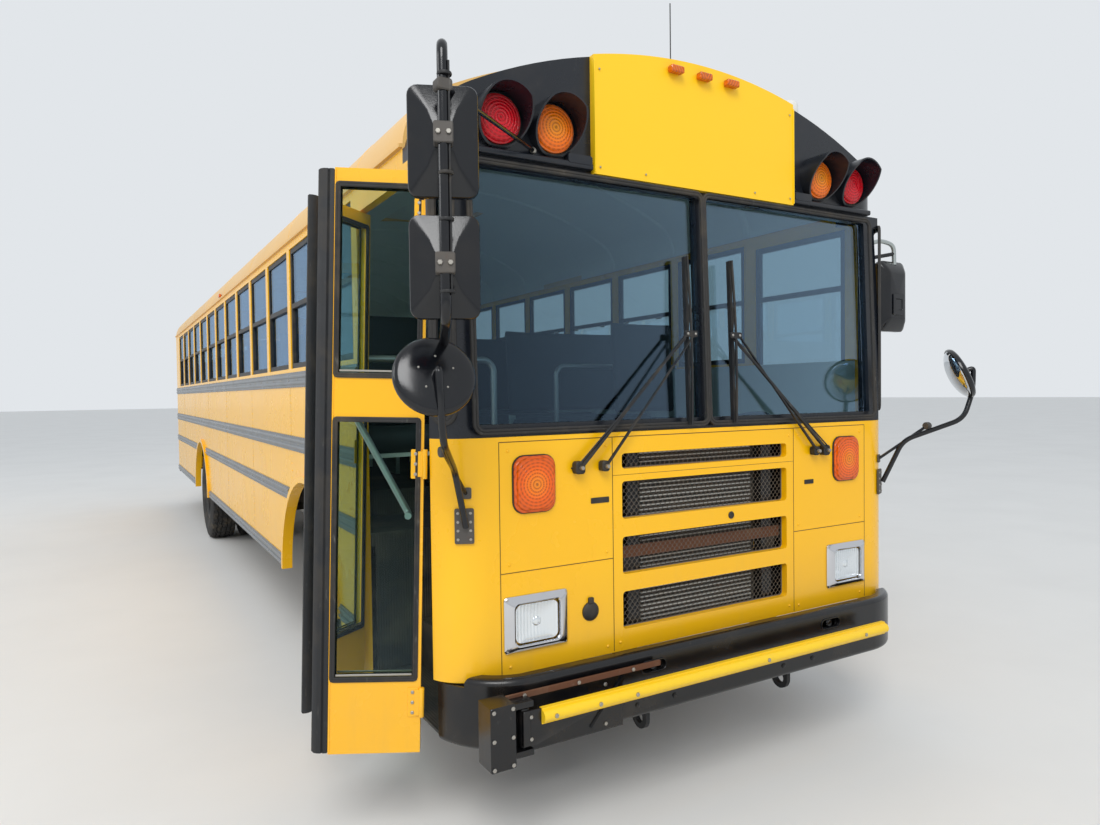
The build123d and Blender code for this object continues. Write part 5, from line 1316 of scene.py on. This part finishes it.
def tyreShape(x, station, side, plan, lugs):
    # profile from bead to bead; the tread's radius drops in grooves that run round or across
    wall = [(-0.100, 0.292), (-0.108, 0.304), (-0.1215, 0.318), (-0.1290, 0.335), (-0.1330, 0.352),
            (-0.1345, 0.356), (-0.1370, 0.375), (-0.1395, 0.402), (-0.1385, 0.430), (-0.1372, 0.433),
            (-0.1340, 0.455), (-0.1285, 0.476), (-0.1245, 0.494), (-0.1180, 0.507)]
    tread = np.concatenate([[-0.112, -0.104], np.repeat((-0.072, -0.028, 0.028, 0.072), 4)
                            + np.tile((-0.0065, -0.0045, 0.0045, 0.0065), 4), [0.104, 0.112]])
    tread = np.sort(tread)
    wallLeft = np.array(wall)
    wallRight = wallLeft[::-1] * (-1, 1)
    across = np.concatenate([wallLeft[:, 0], tread, wallRight[:, 0]])
    crown = plan["radius"] - 0.006 * (tread / 0.112) ** 2 - 0.004 * (np.abs(tread) > 0.108)
    radius = np.concatenate([wallLeft[:, 1], crown, wallRight[:, 1]])
    isTread = np.concatenate([np.zeros(len(wallLeft)), np.ones(len(tread)), np.zeros(len(wallRight))]) > 0
    groove = np.zeros(len(across))
    starts = len(wallLeft) + 2 + 4 * np.arange(4)
    for start in starts:
        groove[start + 1: start + 3] = 1
    turn = np.arange(plan["around"]) * 2 * math.pi / plan["around"]
    waves = 36
    sway = 0.0045 * np.sign(np.sin(waves * turn))
    inner = isTread & (np.abs(across) < 0.085)
    a = across[None] + sway[:, None] * inner[None]
    r = np.repeat(radius[None], plan["around"], 0) - 0.013 * groove[None]
    outerBlocks = isTread & (np.abs(across) > 0.080)
    notch = (np.arange(plan["around"]) % 6) < (2 if lugs else 1)
    r -= (0.011 if lugs else 0.006) * (notch[:, None] & outerBlocks[None])
    if lugs:
        middleBlocks = isTread & (np.abs(across) <= 0.080) & (groove < 0.5)
        late = ((np.arange(plan["around"]) + 3) % 6) < 1
        r -= 0.008 * (late[:, None] & middleBlocks[None])
    points = np.stack([x + side * a, at(station) + r * np.sin(turn)[:, None],
                       plan["radius"] + r * np.cos(turn)[:, None]], -1)
    return surface(points, wrapRows=True)


for side, label in sideNames:
    front = [tyreShape(side * tyrePlan["frontX"], frontAxle, side, tyrePlan, False)]
    rear = [tyreShape(side * x, rearAxle, side, tyrePlan, True) for x in tyrePlan["rearXs"]]
    addPiece("tread_front_" + label, front, tyreRubber, "wheel_front_" + label,
             ("tyre_front_" + label,))
    addPiece("tread_rear_" + label, rear, tyreRubber, "wheels_rear_" + label,
             ("tyres_rear_" + label,))
print("tyres done")


# Wheels: nuts on their studs, hub caps and their bolts

wheelPlan = {
    "nutCircle": 0.143,
    "nuts": 10,
    "front": {"station": frontAxle, "disc": 1.155, "hub": 1.166, "cap": 1.216},
    "rear": {"station": rearAxle, "disc": 0.891, "hub": 1.000, "cap": 1.060},
    "capProfile": [(0, -0.004), (0.054, -0.004), (0.056, 0.000), (0.055, 0.004), (0.046, 0.006),
                   (0.043, 0.012), (0.020, 0.014), (0.016, 0.011), (0, 0.011)],
}


def ringPlaces(x, station, radius, count, start=0.0):
    # equal turns on a circle about the wheel's centre
    turn = np.arange(count) * 2 * math.pi / count + start
    return np.stack([np.full(count, x), at(station) + radius * np.cos(turn),
                     wheelHeight + radius * np.sin(turn)], -1)


for bodyStart, row in (("wheel_front_", wheelPlan["front"]), ("wheels_rear_", wheelPlan["rear"])):
    for side, label in sideNames:
        outward = (side, 0, 0)
        nuts = ringPlaces(side * row["disc"], row["station"], wheelPlan["nutCircle"], wheelPlan["nuts"])
        studs = nuts + (side * 0.018, 0, 0)
        hubBolts = ringPlaces(side * row["hub"], row["station"], 0.077, 8, 0.2)
        shapes = [prisms(nuts, outward, 0.019, 0.022), heads(studs, outward, 0.010, 0.016, 10),
                  prisms(hubBolts, outward, 0.008, 0.008)]
        addPiece(bodyStart + label + "_nuts", shapes, rustySteel, bodyStart + label)
        axes = ((0, 1, 0), (0, 0, 1), (side, 0, 0))
        cap = lathed(wheelPlan["capProfile"], spot(side * row["cap"], row["station"], wheelHeight), axes, 32)
        addPiece(bodyStart + label + "_cap", [cap], castMetal, bodyStart + label)
print("wheels done")


# Roof: lapped seams outside, and the white lining with its bows inside, open under the hatches

roofPlan = {
    "crownCentre": 0.760,
    "crownRadius": 2.300,
    "shoulderX": 0.940,
    "shoulderRadius": 0.280,
    "start": 0.32,
    "end": sideEnd,
    "hatches": [(2.790, 3.410), (7.390, 8.010)],
    "hatchHalf": 0.305,
}
roofPlan["shoulderZ"] = roofPlan["crownCentre"] + math.sqrt(
    (roofPlan["crownRadius"] - roofPlan["shoulderRadius"]) ** 2 - roofPlan["shoulderX"] ** 2)


def roofArc(inset, steps=28, low=None, high=None):
    # across the roof: left shoulder circle, crown circle, right shoulder circle, all drawn in by the inset
    plan = roofPlan
    meet = math.asin(plan["shoulderX"] / (plan["crownRadius"] - plan["shoulderRadius"]))
    crown = np.linspace(-meet, meet, steps)
    turn = np.linspace(math.pi / 2, meet, 9)[:-1]
    r, s = plan["crownRadius"] - inset, plan["shoulderRadius"] - inset
    left = np.stack([-plan["shoulderX"] - s * np.sin(turn), plan["shoulderZ"] + s * np.cos(turn)], -1)
    top = np.stack([r * np.sin(crown), plan["crownCentre"] + r * np.cos(crown)], -1)
    arc = np.concatenate([left, top, left[::-1] * (-1, 1)])
    if low is None:
        return arc
    x = np.linspace(low, high, steps)
    return np.stack([x, np.interp(x, arc[:, 0], arc[:, 1])], -1)


def arcAt(arc, station):
    # points of X and Z stood at one station
    return np.stack([arc[:, 0], np.full(len(arc), at(station)), arc[:, 1]], -1)


def liningPanel(start, end, low=None, high=None, inset=0.049, thick=0.003):
    # thin closed sheet between two stations: upper face, lower face, and their edges drawn together
    upper, under = roofArc(inset, low=low, high=high), roofArc(inset + thick, low=low, high=high)
    rings = [arcAt(upper, start), arcAt(under, start), arcAt(under, end), arcAt(upper, end)]
    rings = np.array(rings)
    first = np.repeat(rings[:, :1].mean(0, keepdims=True), 4, 0)
    last = np.repeat(rings[:, -1:].mean(0, keepdims=True), 4, 0)
    return surface(np.concatenate([first, rings, last], 1), wrapRows=True, wrapCols=False)


def bowAcross(station, inset, section):
    # section carried along the roof's arc, its first axis square to the arc's slope
    arc = roofArc(inset)
    slope = np.gradient(arc, axis=0)
    out = np.stack([-slope[:, 1], np.zeros(len(arc)), slope[:, 0]], -1)
    out /= np.linalg.norm(out, axis=1)[:, None]
    return alongPath(section, arcAt(arc, station), lookOut=out)


lining, bows, roofSeams = [], [], []
edges = [roofPlan["start"]] + [edge for pair in roofPlan["hatches"] for edge in pair] + [roofPlan["end"]]
for number, (start, end) in enumerate(zip(edges, edges[1:])):
    if number % 2 == 0:
        lining.append(liningPanel(start, end))
    else:
        lining.append(liningPanel(start, end, -1.165, -roofPlan["hatchHalf"]))
        lining.append(liningPanel(start, end, roofPlan["hatchHalf"], 1.165))
bowSection = np.array([(0.001, -0.030), (-0.010, -0.020), (-0.012, -0.012), (-0.012, 0.012), (-0.010, 0.020),
                       (0.001, 0.030)])
lapSection = np.array([(-0.001, -0.022), (0.0016, -0.021), (0.0020, -0.018), (0.0020, 0.018),
                       (0.0016, 0.021), (-0.001, 0.022)])
for number in range(windowCount + 1):
    station = firstPillar + windowPitch * number
    if all(station < low - 0.04 or station > high + 0.04 for low, high in roofPlan["hatches"]):
        bows.append(bowAcross(station, 0.052, bowSection))
    if number % 2 == 0 and 0.4 < station < 10.4:
        roofSeams.append(bowAcross(station, 0.0, lapSection))
addPiece("roofLining", lining, liningWhite)
addPiece("roofBows", bows, liningWhite)
addPiece("roofLaps", roofSeams, roofPaint)
wallLining = []
for side, first in ((1, 0.20), (-1, 0.93)):
    axes = toRight if side > 0 else toLeft
    middle, half = (first + 10.40) / 2, (10.40 - first) / 2
    wallLining.append(slab((side * 1.1815, at(middle), 1.470), axes, half, 0.315, 0.003, 0.004, 0.001))
addPiece("wallLining", wallLining, mintPaint)
print("roof and linings done")


# Stop arm: pale border and two lamps, all blank

stopPlan = {"station": 1.618, "z": 1.543, "face": 1.282, "half": 0.228}
octagonTurn = np.radians(np.arange(8) * 45 + 22.5)
borderReach = stopPlan["half"] / math.cos(math.radians(22.5)) * 0.955
corners = np.stack([np.full(8, stopPlan["face"] + 0.0002),
                    at(stopPlan["station"]) + borderReach * np.cos(octagonTurn),
                    stopPlan["z"] + borderReach * np.sin(octagonTurn)], -1)
borderSection = np.array([(-0.001, -0.009), (0.0006, -0.009), (0.0006, 0.009), (-0.001, 0.009)])
border = alongPath(borderSection, corners, closed=True, lookOut=(1, 0, 0))
addPiece("stopBorder", [border], whitePaint, "stop_arm")
stopLamps = [domedLens(stopPlan["face"], stopPlan["station"], stopPlan["z"] + step, toLeft, 0.42, lampRows)
             for step in (-0.150, 0.150)]
addPiece("stopLamps", stopLamps, redLens, "stop_arm")


# Rear: door handle and blank plate; and the window latches along both sides

rearShapes = [slab(spot(0.235, bodyLength + 0.026, 1.700), toRear, 0.030, 0.055, 0.012, 0.008, 0.002),
              tubeOf([spot(0.235, bodyLength + 0.036, 1.735), spot(0.235, bodyLength + 0.075, 1.728),
                      spot(0.235, bodyLength + 0.075, 1.615), spot(0.235, bodyLength + 0.050, 1.600)], 0.008,
                      0.02, 12)]
addPiece("rearHandle", rearShapes, boltZinc, "emergency_door")
plateShapes = [slab(spot(-0.560, bodyLength + 0.001, 1.330), toRear, 0.1525, 0.076, 0.002, 0.012, 0.0008)]
addPiece("rearPlate", plateShapes, whitePaint)
latches = []
for number in range(windowCount):
    middle = firstPillar + windowPitch * (number + 0.5)
    for side in (-1, 1):
        if side < 0 and middle < 0.93:
            continue
        for shift in (-0.19, 0.19):
            axes = toRight if side > 0 else toLeft
            latches.append(slab((side * 1.180, at(middle + shift), 2.150), axes, 0.024, 0.008, 0.014, 0.004,
                                0.002, 2))
addPiece("windowLatches", latches, boltZinc)
print("rear and latches done")


# Seats: a cushion and a back plumped once as cloth, then set in every place

seatPlan = {
    "first": 1.830,
    "pitch": 0.700,
    "rows": 12,
    "inner": 0.195,
    "outer": 1.165,
    "base": 1.352,
    "voxel": 0.020,
    "pressure": 4.0,
    "cap": 0.014,
}
cushionOutline = [(0.010, 0.034), (0.030, 0.008), (0.390, 0.008), (0.394, 0.088), (0.366, 0.110),
                  (0.032, 0.117), (0.008, 0.090)]
backOutline = [(0.401, 0.146), (0.448, 0.142), (0.492, 0.698), (0.480, 0.725), (0.454, 0.725), (0.440, 0.698)]


def plumped(outline, width, setup):
    # bar of the outline, cut in even cells, blown up softly as cloth and held within the cap
    holder = inScene("plumping", weldedMesh("plumping", extruded(outline, (0, 0, 0), toLeft, 0.006,
                                                                 width - 0.006)))
    cells = holder.modifiers.new("cells", "REMESH")
    cells.mode = "VOXEL"
    cells.voxel_size = setup["voxel"]
    even = bpy.data.meshes.new_from_object(holder.evaluated_get(bpy.context.evaluated_depsgraph_get()))
    holder.modifiers.clear()
    holder.data = even
    start = np.zeros(len(even.vertices) * 3)
    even.vertices.foreach_get("co", start)
    start = start.reshape(-1, 3)
    end = start
    cloth = holder.modifiers.new("air", "CLOTH")
    cloth.settings.use_pressure = True
    cloth.settings.uniform_pressure_force = setup["pressure"]
    cloth.settings.effector_weights.gravity = 0
    for step in range(1, 21):
        bpy.context.scene.frame_set(step)
    blown = holder.evaluated_get(bpy.context.evaluated_depsgraph_get()).to_mesh()
    end = np.zeros(len(blown.vertices) * 3)
    blown.vertices.foreach_get("co", end)
    end = end.reshape(-1, 3)
    move = end - start
    length = np.linalg.norm(move, axis=1)[:, None] + 1e-9
    end = start + move / length * np.minimum(length, setup["cap"])
    bpy.context.scene.frame_set(1)
    sides = np.zeros(len(even.polygons) * 4, int)
    even.polygons.foreach_get("vertices", sides)
    bpy.data.objects.remove(holder)
    return end, sides.reshape(-1, 4)


def seatPlaces(plan):
    # station, side, inner edge and width of every bench, of the short one ahead, and of the driver's seat
    full = plan["outer"] - plan["inner"]
    rows = [(plan["first"] + plan["pitch"] * number, side, plan["inner"], full)
            for number in range(plan["rows"]) for side in (-1, 1)]
    return rows + [(plan["first"] - plan["pitch"], -1, 0.400, plan["outer"] - 0.400), (1.010, 1, 0.530, 0.46)]


def everyBench(prototype, plan):
    # the one shape stretched to each seat's width and set in its place
    points, quads = prototype
    full = plan["outer"] - plan["inner"]
    shapes = []
    for station, side, inner, wide in seatPlaces(plan):
        moved = points * (wide / full, 1, 1) + (inner, at(station), plan["base"])
        shapes.append((moved, quads) if side > 0 else mirroredX([(moved, quads)])[0])
    return shapes


width = seatPlan["outer"] - seatPlan["inner"]
cushions = addPiece("seatCushions", everyBench(plumped(cushionOutline, width, seatPlan), seatPlan), vinylHide,
                    stands=("seat_pads",), crease=60)
backs = addPiece("seatBacks", everyBench(plumped(backOutline, width, seatPlan), seatPlan), vinylHide,
                 crease=60)
print("seats done")


# Camera, floor and light

photoView = {
    "place": (-2.197, -2.428, 1.637),  # X, station and Z of the lens
    "yaw": 30.32,
    "pitch": -1.49,
    "roll": -0.74,
    "focal": 762.9,  # in pixels of the photograph's width
    "pictureWidth": 1100,
    "sensor": 36.0,
}


def stood(item, right, up, back, place):
    # object whose three axes and place are these
    turned = np.eye(4)
    turned[:3] = np.stack([right, up, back, place], 1)
    item.matrix_world = Matrix(turned.tolist())
    return item


def addCamera(view):
    # yaw turns from +Y towards +X, then pitch, then roll about the line of sight
    yaw, pitch, roll = (math.radians(view[key]) for key in ("yaw", "pitch", "roll"))
    ahead = np.array((math.sin(yaw) * math.cos(pitch), math.cos(yaw) * math.cos(pitch), math.sin(pitch)))
    level = np.array((math.cos(yaw), -math.sin(yaw), 0))
    above = np.cross(level, ahead)
    right = math.cos(roll) * level + math.sin(roll) * above
    up = -math.sin(roll) * level + math.cos(roll) * above
    lens = bpy.data.cameras.new("photoCamera")
    lens.sensor_width = view["sensor"]
    lens.lens = view["focal"] / view["pictureWidth"] * view["sensor"]
    bpy.context.scene.camera = stood(inScene("photoCamera", lens), right, up, -ahead, spot(*view["place"]))


studio = {
    "floorHalf": 120.0,
    "floorTone": (232, 229, 223),
    "backTone": (226, 230, 234),
    "skyTone": (222, 230, 240),
    "skyStrength": 0.92,
    "lamps": [("keyLamp", (-7.0, -14.0, 12.0), 1250.0), ("fillLamp", (-16.0, 2.0, 9.0), 500.0)],
    "lampSize": 7.0,
    "lampsLookAt": (0, -3.0, 1.5),
}


def addStudio(setup):
    # wide floor, a sky that lights in one tone and is seen in another, and two lamps
    half = setup["floorHalf"]
    grid = np.array([[(-half, -half, 0), (half, -half, 0)], [(-half, half, 0), (half, half, 0)]])
    mesh = meshOf("studioFloor", surface(grid, wrapCols=False))
    floorFinish = Finish("studioFloor", setup["floorTone"], 0.85)
    floorFinish.patch(floorFinish.noise(0.7, 4), 0.4, 0.8, 0.12, tone(182, 178, 172))
    mesh.materials.append(floorFinish.material)
    ground = inScene("studioFloor", mesh)
    world = bpy.data.worlds.new("studioSky")
    bpy.context.scene.world = world
    world.use_nodes = True
    tree = world.node_tree
    light = filled(tree.nodes["Background"], Color=tone(*setup["skyTone"]), Strength=setup["skyStrength"])
    seen = filled(tree.nodes.new("ShaderNodeBackground"), Color=tone(*setup["backTone"]))
    rays = tree.nodes.new("ShaderNodeLightPath")
    seenBy = rays.outputs["Is Camera Ray"]
    for also in ("Is Glossy Ray", "Is Transmission Ray"):
        adding = tree.nodes.new("ShaderNodeMath")
        adding.operation = "MAXIMUM"
        tree.links.new(seenBy, adding.inputs[0])
        tree.links.new(rays.outputs[also], adding.inputs[1])
        seenBy = adding.outputs["Value"]
    mixedShaders(tree, seenBy, light.outputs["Background"], seen.outputs["Background"], "World Output")
    for name, place, power in setup["lamps"]:
        lamp = bpy.data.lights.new(name, "AREA")
        lamp.energy = power
        lamp.size = setup["lampSize"]
        ahead = np.array(setup["lampsLookAt"]) - place
        ahead /= np.linalg.norm(ahead)
        level = np.cross(ahead, (0, 0, 1))
        level /= np.linalg.norm(level)
        stood(inScene(name, lamp), level, np.cross(level, ahead), -ahead, place)


addCamera(photoView)
addStudio(studio)
bpy.context.scene.view_settings.view_transform = "Standard"
print("camera and studio set")
